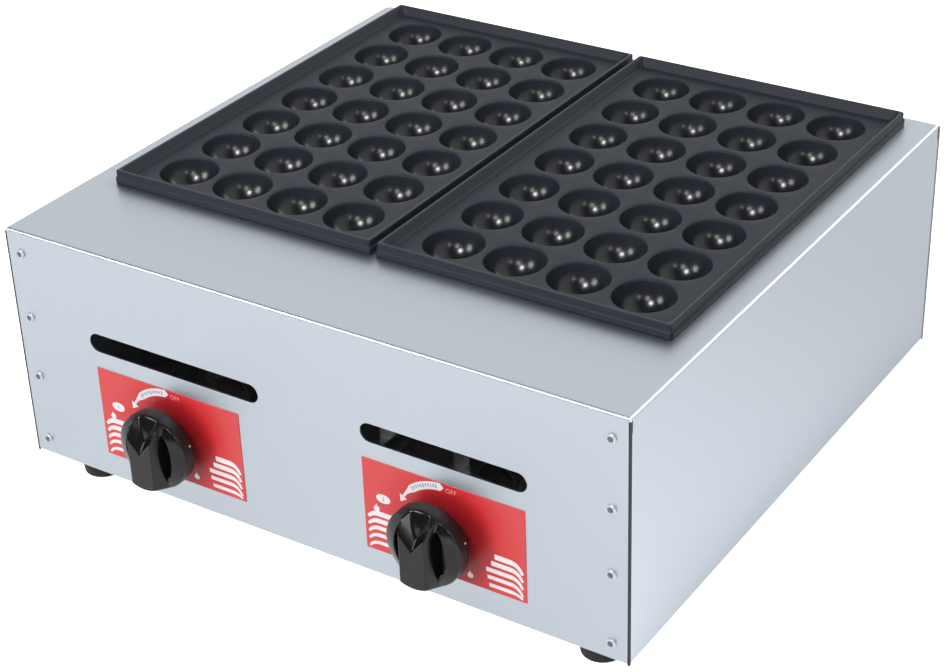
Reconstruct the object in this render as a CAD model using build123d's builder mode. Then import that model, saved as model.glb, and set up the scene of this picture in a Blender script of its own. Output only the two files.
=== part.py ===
from build123d import *
import os
from math import pi

os.makedirs("parts", exist_ok=True)

# Two-plate gas takoyaki maker: a stainless body on four rubber feet, two lift-off cast plates of
# half-round cavities, and for each plate a tube burner, a push-and-turn gas valve and a knob.
# Millimetres. X is across the front, Y runs from the knobs (-Y) to the gas inlet (+Y), and Z is up
# from the worktop. The origin is the bottom centre of the whole object's box.

# ---- body -----------------------------------------------------------------------------------
body_width = 430.0
body_depth = 406.0
body_height = 159.0          # panels only, without base plate and feet
sheet = 1.2                  # stainless sheet
bend = 2.0                   # outside radius of every visible fold
lip = 10.0                   # folded-down edge of the deck at its sides and rear
lap = 12.0                   # how far a side panel laps behind that lip
flange = 14.0                # inward flanges that take the screws
flange_gap = 1.0             # between two flanges that meet at a corner
seam = 1.3                   # width of the black strip in a vertical corner
seam_depth = 1.6
relief = 3.0                 # bend relief in the deck's two rear corners
foot_height = 16.8
foot_bottom_r = 12.5
foot_top_r = 14.5
foot_inset_x = 31.0          # foot's centre from the body's side
foot_inset_y = 25.0          # foot's centre from the front or rear face
base_inset = 3.0             # base plate's edge from the body's outline

# ---- takoyaki plates --------------------------------------------------------------------------
plate_width = 194.0
plate_depth = 315.0
plate_x = 98.7               # plate's centre from the middle
deck_front_margin = 79.0     # deck in front of the plates
cavity_r = 18.5
cavity_pitch = 42.0
cavity_columns = 4
cavity_rows = 7
cavity_wall = 2.1
cavity_lip = 1.2             # rounding of a cavity's mouth
plate_thickness = 3.0        # land between the cavities
rim_height = 9.0             # rim's top above the deck
rim_top = 1.8                # width of the rim's top edge
rim_slope = 3.4              # how much wider the rim is where it meets the land
rim_step = 4.0               # height of the plate's lower edge band
rim_step_in = 0.8            # how far the wall above that band stands back
plate_corner = 1.8
rim_round = 0.5              # rounding of the rim's outer top edge
tray_corner = 3.0            # corner radius inside the rim
opening_clearance = 2.4      # deck opening around the cavities' undersides
opening_corner = 8.0

# ---- front: lighting slots, labels, knobs -------------------------------------------------------
slot_height = 12.4
slot_level = 97.0            # above the body's lower edge
slots = {"left": (-92.9, 127.2), "right": (97.2, 109.6)}   # centre, length
control_x = {"left": -99.5, "right": 94.5}                 # knob and valve
label_x = {"left": -99.5, "right": 96.5}
control_level = 46.0         # knob's axis above the body's lower edge
label_width = 108.0
label_height = 62.0
label_level = 48.7           # label's middle above the body's lower edge
label_thickness = 0.4
knob_r = 25.0
knob_reach = 30.0            # knob's face in front of the panel
knob_gap = 9.0               # skirt's back edge in front of the panel
knob_skirt = 9.0             # straight part of the skirt
knob_face_r = 20.5           # where the dome meets the grip's face
grip_width = 19.5
grip_round = 1.4
grip_step = 0.3              # grip's ends inside the skirt
pocket_width = 9.0           # finger pocket beside the grip
pocket_floor = 16.0          # pocket's floor in front of the panel
pocket_draft = 12.0          # degrees
knob_travel = 3.0            # push before turning
knob_dome = 25.0             # dome's top in front of the panel
knob_hollow = 4.0            # moulded hollow behind the dome
knob_wall = 2.4
hub_r = 7.0
pocket_half_length = 22.0
grip_slope_start = 14.0      # grip's sloped top end starts this far above the axis
stem_in_knob = 14.0

# ---- gas valves -----------------------------------------------------------------------------
stem_r = 3.0
stem_flat = 0.8              # flat on the stem, which the knob and the plug key on
stem_clearance = 0.05
stem_hole_r = 7.0            # through the panel and the label
bonnet_r = 13.0
bonnet_front = 6.8           # bonnet's solid front wall
bonnet_length = 12.8
collar_r = 4.8
collar_length = 2.0
spring_wire = 0.8
spring_coil_r = 4.1
spring_turns = 5
spring_cavity_r = 5.6
valve_r = 12.0
valve_length = 30.0
plug_front_r = 7.0
plug_back_r = 6.0
plug_length = 18.0
plug_clearance = 0.05
plug_setback = 8.0           # plug's front face behind the valve body's front face
plug_seat_r = 7.5            # valve body's bore in front of the plug
plug_gas_way = 13.0          # plug's cross hole behind its front face
plug_cross_r = 1.6
stem_in_plug = 6.0           # how deep the stem sits in the plug at rest
gas_way_r = 2.5
injector_length = 12.0
injector_hex = 10.0          # across flats
injector_spigot_r = 2.45
injector_bore_r = 1.4
injector_spigot = 5.0
orifice_r = 0.5

# ---- gas supply -----------------------------------------------------------------------------
manifold_level = 22.0        # above the body's lower edge
manifold_r = 7.0
manifold_wall = 1.5
manifold_end = 20.0          # manifold beyond each valve
clamp_wall = 2.0             # of the valve's neck and clamp, around the manifold
clamp_width = 14.0
supply_r = 5.0
supply_wall = 1.0
supply_entry = 4.0           # supply pipe's end inside the manifold's tee
pipe_clearance = 0.05
nozzle_reach = 30.0          # hose spigot behind the rear panel
spigot_r = 4.75
spigot_bore_r = 3.0
spigot_tip = 1.0
shank_r = 7.0
inlet_flange_r = 11.0
inlet_flange_length = 5.0
inlet_socket = 10.0          # supply pipe's end inside the inlet fitting
nut_thickness = 5.0
nut_across_flats = 19.0
saddle_width = 12.0
saddle_offset = 45.0         # manifold saddles from the middle
saddle_half = 11.0           # saddle block's half length across its pipe

# ---- burners --------------------------------------------------------------------------------
burner_level = 92.0          # burner tubes' axis above the body's lower edge
burner_tube_r = 8.0
burner_wall = 1.2
burner_front = 90.0          # tubes' front ends behind the front face
burner_rear_margin = 26.0    # tubes' rear ends in front of the rear face
port_r = 1.1
port_pitch = 12.0
header_r = 12.0
header_sink = 3.0            # how deep the tubes sit in the header
header_setback = 150.0       # header's axis behind the front face
header_overhang = 6.0        # header beyond the outer tubes
mixer_r = 9.0
mixer_wall = 1.4
mixer_mouth_r = 13.0
mixer_mouth_length = 14.0
mixer_gap = 3.0              # injector's tip to the mixing tube's mouth
mixer_elbow_r = 14.0
weld_gap = 0.05
bracket_sheet = 1.5
bracket_foot = 16.0
bracket_margin = 14.0        # bracket's bar beyond the outer tubes' axes
bracket_bar = 18.0           # height of the notched bar, up to the tubes' axis
bracket_leg = 12.0           # width of a leg
bracket_legs = 4
leg_clearance = 1.0          # leg's top below the tubes
front_bracket_setback = 30.0 # front bracket behind the tubes' front ends
rear_bracket_inset = 14.0    # rear bracket in front of the tubes' rear ends

# ---- ignition -------------------------------------------------------------------------------
piezo_r = 6.5
piezo_length = 24.0
piezo_offset = 22.0          # piezo's axis beside the valve's
ear_thickness = 2.0
ear_setback = 9.0            # ear behind the valve body's front face
terminal_r = 1.5
terminal_length = 4.0
lead_r = 1.25
electrode_setback = 104.0    # electrode's axis behind the front face
ceramic_r = 3.0
ceramic_length = 30.0
ceramic_above = 3.0          # ceramic's top above the burner tubes' axis
electrode_r = 1.0
electrode_above = 12.0       # electrode's tip above the burner tubes' axis
electrode_tail = 5.0
electrode_strip_width = 8.0
electrode_strip_drop = 2.0   # strip's underside below the burner tubes' axis
lead_run_out = 16.0          # lead's straight run behind the piezo
lead_run_up = 22.0           # and below the electrode
lead_bend_r = 11.0

# ---- fasteners ------------------------------------------------------------------------------
screw_r = 1.5
screw_hole_r = 1.7
head_r = 2.9
head_height = 1.7
recess_width = 0.9
recess_length = 3.4
recess_depth = 0.9
screw_length = 6.0
screw_inset = 11.0           # front and rear screws from the body's side
screw_levels = (12.0, 58.0, 100.0)
top_screw_drop = 15.0        # top front and rear screws below the deck
foot_screw_r = 2.0
foot_screw_hole_r = 2.2
foot_head_r = 4.2
foot_head_height = 2.6
foot_recess_r = 6.0
foot_recess = 8.0
foot_nut_height = 3.2
foot_nut_across_flats = 7.0

# ---- vents ----------------------------------------------------------------------------------
vent_length = 34.0
vent_width = 5.0
rear_vent_pitch = 12.0
rear_vent_rows = 5
rear_vent_drop = 49.0        # middle of the rear vents below the deck
base_vent_pitch = 14.0
base_vent_rows = 12

# ---- places worked out from the sizes above ------------------------------------------------------
half_width = body_width / 2
front_y = -(body_depth + knob_reach + nozzle_reach) / 2 + knob_reach
back_y = front_y + body_depth
shell_z = foot_height + sheet
deck_z = shell_z + body_height
panel_half = half_width - seam
inner_half = half_width - flange - flange_gap
plate_y = front_y + deck_front_margin + plate_depth / 2
land_z = deck_z + plate_thickness
grid_width = (cavity_columns - 1) * cavity_pitch
grid_depth = (cavity_rows - 1) * cavity_pitch
cavity_outer_r = cavity_r + cavity_wall
opening_width = grid_width + 2 * (cavity_outer_r + opening_clearance)
opening_depth = grid_depth + 2 * (cavity_outer_r + opening_clearance)
knob_z = shell_z + control_level
slot_z = shell_z + slot_level
bonnet_y = front_y + sheet
valve_y = bonnet_y + bonnet_length
plug_y = valve_y + plug_setback
valve_back_y = valve_y + valve_length
collar_y = bonnet_y + bonnet_front + stem_clearance
spring_y = collar_y + collar_length
manifold_y = plug_y + plug_gas_way
manifold_z = shell_z + manifold_level
neck_r = manifold_r + clamp_wall
burner_z = shell_z + burner_level
header_y = front_y + header_setback
header_z = burner_z - burner_tube_r - header_r + header_sink
burner_y0 = front_y + burner_front
burner_y1 = back_y - burner_rear_margin
injector_tip_y = valve_back_y + injector_length
mixer_y = injector_tip_y + mixer_gap
electrode_y = front_y + electrode_setback
base_top = shell_z
rear_vent_z = deck_z - rear_vent_drop
panel_screw_x = half_width - screw_inset
panel_screw_levels = [shell_z + level for level in screw_levels] + [deck_z - top_screw_drop]
panel_screw_spots = [(sx * panel_screw_x, z) for sx in (-1, 1) for z in panel_screw_levels]
base_screw_x = half_width - flange / 2 - 1
base_screw_ys = (front_y + body_depth / 4, back_y - body_depth / 4)
base_screw_points = [(sx * base_screw_x, y) for sx in (-1, 1) for y in base_screw_ys]
foot_points = [(sx * (half_width - foot_inset_x), y)
               for sx in (-1, 1) for y in (front_y + foot_inset_y, back_y - foot_inset_y)]
sides = {"left": -1, "right": 1}


def save(part, name):
    part.label = name
    export_step(part, f"parts/{name}.step")


# ---- deck and front panel -----------------------------------------------------------------------
# One sheet: the deck, folded down as the front panel with its bottom flange, and down again as a
# short lip along both sides and the rear. The fold is a box shell cut back to that outline.
with BuildPart() as deck_region:
    with Locations((0, (front_y + bend + back_y) / 2, deck_z - lip / 2)):
        Box(body_width, back_y - front_y - bend, lip)
    with Locations((0, front_y + bend / 2, deck_z - bend / 2)):
        Box(body_width, bend, bend)
    with Locations((0, front_y + sheet / 2, (shell_z + deck_z) / 2)):
        Box(2 * panel_half, sheet, body_height)
    with Locations((0, front_y + flange / 2, shell_z + bend / 2)):
        Box(2 * inner_half, flange, bend)

with BuildPart() as deck_inside:
    with Locations((0, (front_y + back_y - sheet) / 2, (shell_z + deck_z) / 2)):
        Box(body_width - 2 * sheet, body_depth - 3 * sheet, body_height - 2 * sheet)
    inside_top = deck_inside.faces().sort_by(Axis.Z)[-1].edges()
    inside_front = deck_inside.faces().sort_by(Axis.Y)[0].edges().sort_by(Axis.Z)[0]
    fillet(inside_top + [inside_front], bend - sheet)

with BuildPart() as deck_and_front_panel:
    with Locations((0, (front_y + back_y - sheet) / 2, (shell_z + deck_z) / 2)):
        Box(body_width, body_depth - sheet, body_height)
    outside_top = deck_and_front_panel.faces().sort_by(Axis.Z)[-1].edges()
    outside_front = deck_and_front_panel.faces().sort_by(Axis.Y)[0].edges().sort_by(Axis.Z)[0]
    fillet(outside_top + [outside_front], bend)
    add(deck_inside.part, mode=Mode.SUBTRACT)
    add(deck_region.part, mode=Mode.INTERSECT)
    # openings under the two plates
    with BuildSketch(Plane.XY.offset(deck_z)):
        with Locations((-plate_x, plate_y), (plate_x, plate_y)):
            RectangleRounded(opening_width, opening_depth, opening_corner)
    extrude(amount=-2 * sheet, mode=Mode.SUBTRACT)
    # bend relief in the rear corners
    with Locations(*[(s * half_width, back_y - sheet, deck_z) for s in (-1, 1)]):
        Box(2 * relief, 2 * relief, 2 * lip + 1, mode=Mode.SUBTRACT)
    # lighting slots, stem holes and screw holes in the front
    with BuildSketch(Plane.XZ.offset(-front_y)):
        for centre, length in slots.values():
            with Locations((centre, slot_z)):
                SlotOverall(length, slot_height)
        with Locations(*[(x, knob_z) for x in control_x.values()]):
            Circle(stem_hole_r)
        with Locations(*panel_screw_spots):
            Circle(screw_hole_r)
    extrude(amount=-2 * sheet, mode=Mode.SUBTRACT)
save(deck_and_front_panel.part, "deck_and_front_panel")

# ---- side panels ----------------------------------------------------------------------------
# Each is one sheet with inward flanges at the front, rear and bottom. Its top edge meets the deck's
# lip, and a spot-welded lap runs up behind that lip.
with BuildPart() as side_inside:
    with Locations((0, (front_y + back_y) / 2, (shell_z + sheet + deck_z) / 2)):
        Box(body_width - 2 * sheet, body_depth - 4 * sheet, body_height - sheet)
    fillet(side_inside.edges().filter_by(Axis.Z), bend - sheet)
    fillet(side_inside.faces().sort_by(Axis.Z)[0].edges().filter_by(Axis.Y), bend - sheet)

for side, s in sides.items():
    with BuildPart() as side_panel:
        with Locations((0, (front_y + back_y) / 2, (shell_z + deck_z) / 2)):
            Box(body_width, body_depth - 2 * sheet, body_height)
        fillet(side_panel.edges().filter_by(Axis.Z), bend)
        fillet(side_panel.faces().sort_by(Axis.Z)[0].edges().filter_by(Axis.Y), bend)
        add(side_inside.part, mode=Mode.SUBTRACT)
        with Locations((s * (half_width - flange / 2), (front_y + back_y) / 2,
                        (shell_z + deck_z - lip) / 2)):
            Box(flange, body_depth, body_height - lip, mode=Mode.INTERSECT)
        with Locations((s * (half_width - 1.5 * sheet), (front_y + back_y) / 2,
                        deck_z - lip + (lip - bend - lap) / 2)):
            Box(sheet, body_depth - 2 * (flange + sheet), lip - bend + lap)
        with BuildSketch(Plane.XZ.offset(-front_y)):
            with Locations(*[(s * panel_screw_x, z) for z in panel_screw_levels]):
                Circle(screw_hole_r)
        extrude(amount=-body_depth, mode=Mode.SUBTRACT)
        with BuildSketch(Plane.XY.offset(shell_z)):
            with Locations(*[(s * base_screw_x, y) for y in base_screw_ys]):
                Circle(screw_hole_r)
        extrude(amount=2 * sheet, mode=Mode.SUBTRACT)
    save(side_panel.part, f"{side}_side_panel")

# ---- rear panel -----------------------------------------------------------------------------
# A flat sheet behind the side panels' flanges, with vents, the gas inlet's hole and a bottom flange.
with BuildPart() as rear_panel:
    with BuildSketch(Plane.YZ) as rear_profile:
        with BuildLine():
            Polyline((back_y, deck_z - bend), (back_y, shell_z), (back_y - flange, shell_z),
                     (back_y - flange, shell_z + sheet), (back_y - sheet, shell_z + sheet),
                     (back_y - sheet, deck_z - bend), close=True)
        make_face()
        for corner, radius in (((back_y, shell_z), bend),
                               ((back_y - sheet, shell_z + sheet), bend - sheet)):
            fillet(rear_profile.vertices().sort_by_distance(corner)[0], radius)
    extrude(amount=panel_half, both=True)
    with Locations(*[(s * (inner_half + panel_half) / 2, back_y - sheet - flange / 2,
                      shell_z + sheet) for s in (-1, 1)]):
        Box(panel_half - inner_half, flange, 2 * sheet, mode=Mode.SUBTRACT)
    with BuildSketch(Plane.XZ.offset(-back_y)):
        with Locations((0, manifold_z)):
            Circle(shank_r + pipe_clearance)
        with Locations(*panel_screw_spots):
            Circle(screw_hole_r)
        with Locations((-plate_x, rear_vent_z), (plate_x, rear_vent_z)):
            with GridLocations(vent_length + 2 * vent_width, rear_vent_pitch, 3, rear_vent_rows):
                SlotOverall(vent_length, vent_width)
    extrude(amount=2 * sheet, both=True, mode=Mode.SUBTRACT)
save(rear_panel.part, "rear_panel")

# ---- base plate -----------------------------------------------------------------------------
# A flat sheet under the flanges, with air vents below each burner. The feet hang from it.
with BuildPart() as base_plate:
    with BuildSketch(Plane.XY.offset(foot_height)):
        with Locations((0, (front_y + back_y) / 2)):
            RectangleRounded(body_width - 2 * base_inset, body_depth - 2 * base_inset, bend)
        with Locations(*foot_points):
            Circle(foot_screw_hole_r, mode=Mode.SUBTRACT)
        with Locations(*base_screw_points):
            Circle(screw_hole_r, mode=Mode.SUBTRACT)
        with Locations((-plate_x, plate_y), (plate_x, plate_y)):
            with GridLocations(vent_length + 2 * vent_width, base_vent_pitch, 3, base_vent_rows):
                SlotOverall(vent_length, vent_width, mode=Mode.SUBTRACT)
    extrude(amount=sheet)
save(base_plate.part, "base_plate")

# ---- corner strips --------------------------------------------------------------------------
# A black strip fills each vertical corner, between the flat panel's edge and the side panel's fold.
with BuildPart() as corner_seam_strips:
    with BuildSketch(Plane.XY.offset(shell_z)):
        for sx in (-1, 1):
            for face_y, inward in ((front_y, 1), (back_y, -1)):
                with Locations((sx * (panel_half + seam / 2), face_y + inward * seam_depth / 2)):
                    Rectangle(seam, seam_depth)
                with Locations((sx * (half_width - bend), face_y + inward * (sheet + bend))):
                    Circle(bend + pipe_clearance, mode=Mode.SUBTRACT)
    extrude(amount=body_height - bend)
save(corner_seam_strips.part, "corner_seam_strips")


# ---- screws ---------------------------------------------------------------------------------
def pan_head_screws(planes, shank_r, shank_length, round_r, height, cross_length):
    """Screws whose heads' undersides lie on the given planes, with the head along each normal."""
    with BuildPart() as screws:
        for plane in planes:
            with BuildSketch(plane):
                Circle(round_r)
            extrude(amount=height)
            with BuildSketch(plane):
                Circle(shank_r)
            extrude(amount=-shank_length)
        rims = [edge for edge in screws.edges().filter_by(GeomType.CIRCLE)
                if abs(edge.radius - round_r) < 0.001]
        tops = [edge for edge in rims if any(
            abs(plane.to_local_coords(edge.arc_center).Z - height) < 0.001 and
            plane.to_local_coords(edge.arc_center).length < height + 0.01 for plane in planes)]
        fillet(tops, height * 0.55)
        for plane in planes:
            with BuildSketch(plane.offset(height)):
                Rectangle(cross_length, recess_width)
                Rectangle(recess_width, cross_length)
            extrude(amount=-recess_depth, mode=Mode.SUBTRACT)
    return screws.part


front_planes = [Plane(origin=(x, front_y, z), x_dir=(1, 0, 0), z_dir=(0, -1, 0))
                for x, z in panel_screw_spots]
rear_planes = [Plane(origin=(x, back_y, z), x_dir=(1, 0, 0), z_dir=(0, 1, 0))
               for x, z in panel_screw_spots]
base_planes = [Plane(origin=(x, y, foot_height), x_dir=(1, 0, 0), z_dir=(0, 0, -1))
               for x, y in base_screw_points]
foot_planes = [Plane(origin=(x, y, foot_recess), x_dir=(1, 0, 0), z_dir=(0, 0, -1))
               for x, y in foot_points]
save(pan_head_screws(front_planes, screw_r, screw_length, head_r, head_height, recess_length),
     "front_panel_screws")
save(pan_head_screws(rear_planes, screw_r, screw_length, head_r, head_height, recess_length),
     "rear_panel_screws")
save(pan_head_screws(base_planes, screw_r, screw_length, head_r, head_height, recess_length),
     "base_plate_screws")
save(pan_head_screws(foot_planes, foot_screw_r, foot_height - foot_recess + sheet + foot_nut_height,
                     foot_head_r, foot_head_height, recess_length), "foot_screws")

with BuildPart() as foot_nuts:
    with BuildSketch(Plane.XY.offset(base_top)):
        with Locations(*foot_points):
            RegularPolygon(foot_nut_across_flats / 2, 6, major_radius=False)
            Circle(foot_screw_r + pipe_clearance, mode=Mode.SUBTRACT)
    extrude(amount=foot_nut_height)
save(foot_nuts.part, "foot_nuts")

# ---- feet -----------------------------------------------------------------------------------
# Each is a tapered rubber moulding with a recess underneath for its screw.
for name, (x, y) in zip(("front_left", "rear_left", "front_right", "rear_right"), foot_points):
    with BuildPart() as foot:
        with BuildSketch(Plane.XZ.offset(-y)):
            with BuildLine():
                Polyline((x + foot_screw_hole_r, foot_recess), (x + foot_screw_hole_r, foot_height),
                         (x + foot_top_r, foot_height), (x + foot_bottom_r, 0),
                         (x + foot_recess_r, 0), (x + foot_recess_r, foot_recess), close=True)
            make_face()
        revolve(axis=Axis((x, y, 0), (0, 0, 1)))
        outer_rims = foot.edges().filter_by(GeomType.CIRCLE).sort_by(lambda e: e.radius)[-2:]
        fillet(outer_rims, 1.2)
    save(foot.part, f"{name}_foot")

# ---- takoyaki plates ------------------------------------------------------------------------
# A casting: a land with 4 by 7 half-round cavities that hang through the deck, inside a raised rim.
# Its underside rests on the deck around the opening, and it lifts straight off.
for side, s in sides.items():
    with BuildPart() as plate:
        with BuildSketch(Plane.XY.offset(deck_z)):
            with Locations((s * plate_x, plate_y)):
                RectangleRounded(plate_width, plate_depth, plate_corner)
        extrude(amount=rim_step)
        with BuildSketch(Plane.XY.offset(deck_z + rim_step)):
            with Locations((s * plate_x, plate_y)):
                RectangleRounded(plate_width - 2 * rim_step_in, plate_depth - 2 * rim_step_in,
                                 plate_corner - rim_step_in)
        extrude(amount=rim_height - rim_step)
        rim_edges = plate.faces().sort_by(Axis.Z)[-1].edges()
        fillet(rim_edges, rim_round)
        # tray, with walls that slope in to the land
        with BuildSketch(Plane.XY.offset(deck_z + rim_height)):
            with Locations((s * plate_x, plate_y)):
                RectangleRounded(plate_width - 2 * (rim_step_in + rim_top),
                                 plate_depth - 2 * (rim_step_in + rim_top), tray_corner)
        with BuildSketch(Plane.XY.offset(land_z)):
            with Locations((s * plate_x, plate_y)):
                RectangleRounded(plate_width - 2 * (rim_step_in + rim_top + rim_slope),
                                 plate_depth - 2 * (rim_step_in + rim_top + rim_slope), tray_corner)
        loft(mode=Mode.SUBTRACT)
        with Locations((s * plate_x, plate_y, land_z)):
            with GridLocations(cavity_pitch, cavity_pitch, cavity_columns, cavity_rows):
                Sphere(cavity_outer_r, arc_size1=-90, arc_size2=0,
                       align=(Align.CENTER, Align.CENTER, Align.MAX))
        with Locations((s * plate_x, plate_y, land_z)):
            with GridLocations(cavity_pitch, cavity_pitch, cavity_columns, cavity_rows):
                Sphere(cavity_r, mode=Mode.SUBTRACT)
        mouths = [edge for edge in plate.edges().filter_by(GeomType.CIRCLE)
                  if abs(edge.radius - cavity_r) < 0.001 and abs(edge.arc_center.Z - land_z) < 0.001]
        fillet(mouths, cavity_lip)
    save(plate.part, f"{side}_takoyaki_plate")

# ---- control labels -------------------------------------------------------------------------
for side, x in label_x.items():
    with BuildPart() as label:
        with BuildSketch(Plane.XZ.offset(-front_y)):
            with Locations((x, shell_z + label_level)):
                Rectangle(label_width, label_height)
            with Locations((control_x[side], knob_z)):
                Circle(stem_hole_r, mode=Mode.SUBTRACT)
        extrude(amount=label_thickness)
    save(label.part, f"{side}_control_label")

# ---- knobs ----------------------------------------------------------------------------------
# A moulded knob: a skirt and a dome, a grip across the whole dome with a sloped top end, a finger
# pocket on each side of the grip, and behind them a hollow with a keyed hub.
knob_back_y = front_y - knob_gap
knob_face_y = front_y - knob_reach
knob_root_y = knob_back_y - knob_hollow - 1
for side, x in control_x.items():
    with BuildPart() as grip:
        with BuildSketch(Plane.XY.offset(knob_z)):
            with BuildLine():
                Polyline((x, knob_root_y), (x + knob_r - grip_step, knob_root_y),
                         (x + knob_r - grip_step, knob_back_y - knob_skirt),
                         (x + knob_face_r, knob_face_y), (x, knob_face_y), close=True)
            make_face()
        revolve(axis=Axis((x, 0, knob_z), (0, 1, 0)))
        with Locations((x, front_y, knob_z)):
            Box(grip_width, 4 * knob_reach, 4 * knob_r, mode=Mode.INTERSECT)
        with BuildSketch(Plane.YZ.offset(x)):
            with BuildLine():
                Polyline((knob_face_y, knob_z + grip_slope_start), (knob_face_y, knob_z + knob_r),
                         (knob_face_y + knob_r - grip_slope_start, knob_z + knob_r), close=True)
            make_face()
        extrude(amount=knob_r, both=True, mode=Mode.SUBTRACT)
        front_edges = [e for e in grip.edges() if e.center().Y < knob_back_y - knob_skirt - 1]
        fillet(front_edges, grip_round)

    with BuildPart() as knob:
        with BuildSketch(Plane.XY.offset(knob_z)):
            with BuildLine():
                Polyline((x, front_y - knob_dome), (x, knob_back_y), (x + knob_r, knob_back_y),
                         (x + knob_r, knob_back_y - knob_skirt))
                TangentArc((x, front_y - knob_dome),
                           (x + knob_r, knob_back_y - knob_skirt), tangent=(1, 0))
            make_face()
        revolve(axis=Axis((x, 0, knob_z), (0, 1, 0)))
        with BuildSketch(Plane.XZ.offset(-knob_face_y)):
            for s in (-1, 1):
                with BuildLine():
                    wall_x = x + s * (grip_width / 2 - 1)
                    bulge_x = x + s * (grip_width / 2 + pocket_width)
                    ThreePointArc((wall_x, knob_z - pocket_half_length), (bulge_x, knob_z),
                                  (wall_x, knob_z + pocket_half_length))
                    Line((wall_x, knob_z + pocket_half_length), (wall_x, knob_z - pocket_half_length))
                make_face()
        extrude(amount=-(knob_reach - pocket_floor), taper=pocket_draft, mode=Mode.SUBTRACT)
        add(grip.part)
        with BuildSketch(Plane.XZ.offset(-knob_back_y)):
            with Locations((x, knob_z)):
                Circle(knob_r - knob_wall)
                Circle(hub_r, mode=Mode.SUBTRACT)
        extrude(amount=knob_hollow, mode=Mode.SUBTRACT)
        with BuildSketch(Plane.XZ.offset(-knob_back_y)):
            with Locations((x, knob_z)):
                Circle(stem_r + stem_clearance)
            with Locations((x, knob_z + 2 * stem_r - stem_flat + stem_clearance)):
                Rectangle(4 * stem_r, 2 * stem_r, mode=Mode.SUBTRACT)
        extrude(amount=stem_in_knob + stem_clearance, mode=Mode.SUBTRACT)
    save(knob.part, f"{side}_knob")

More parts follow.
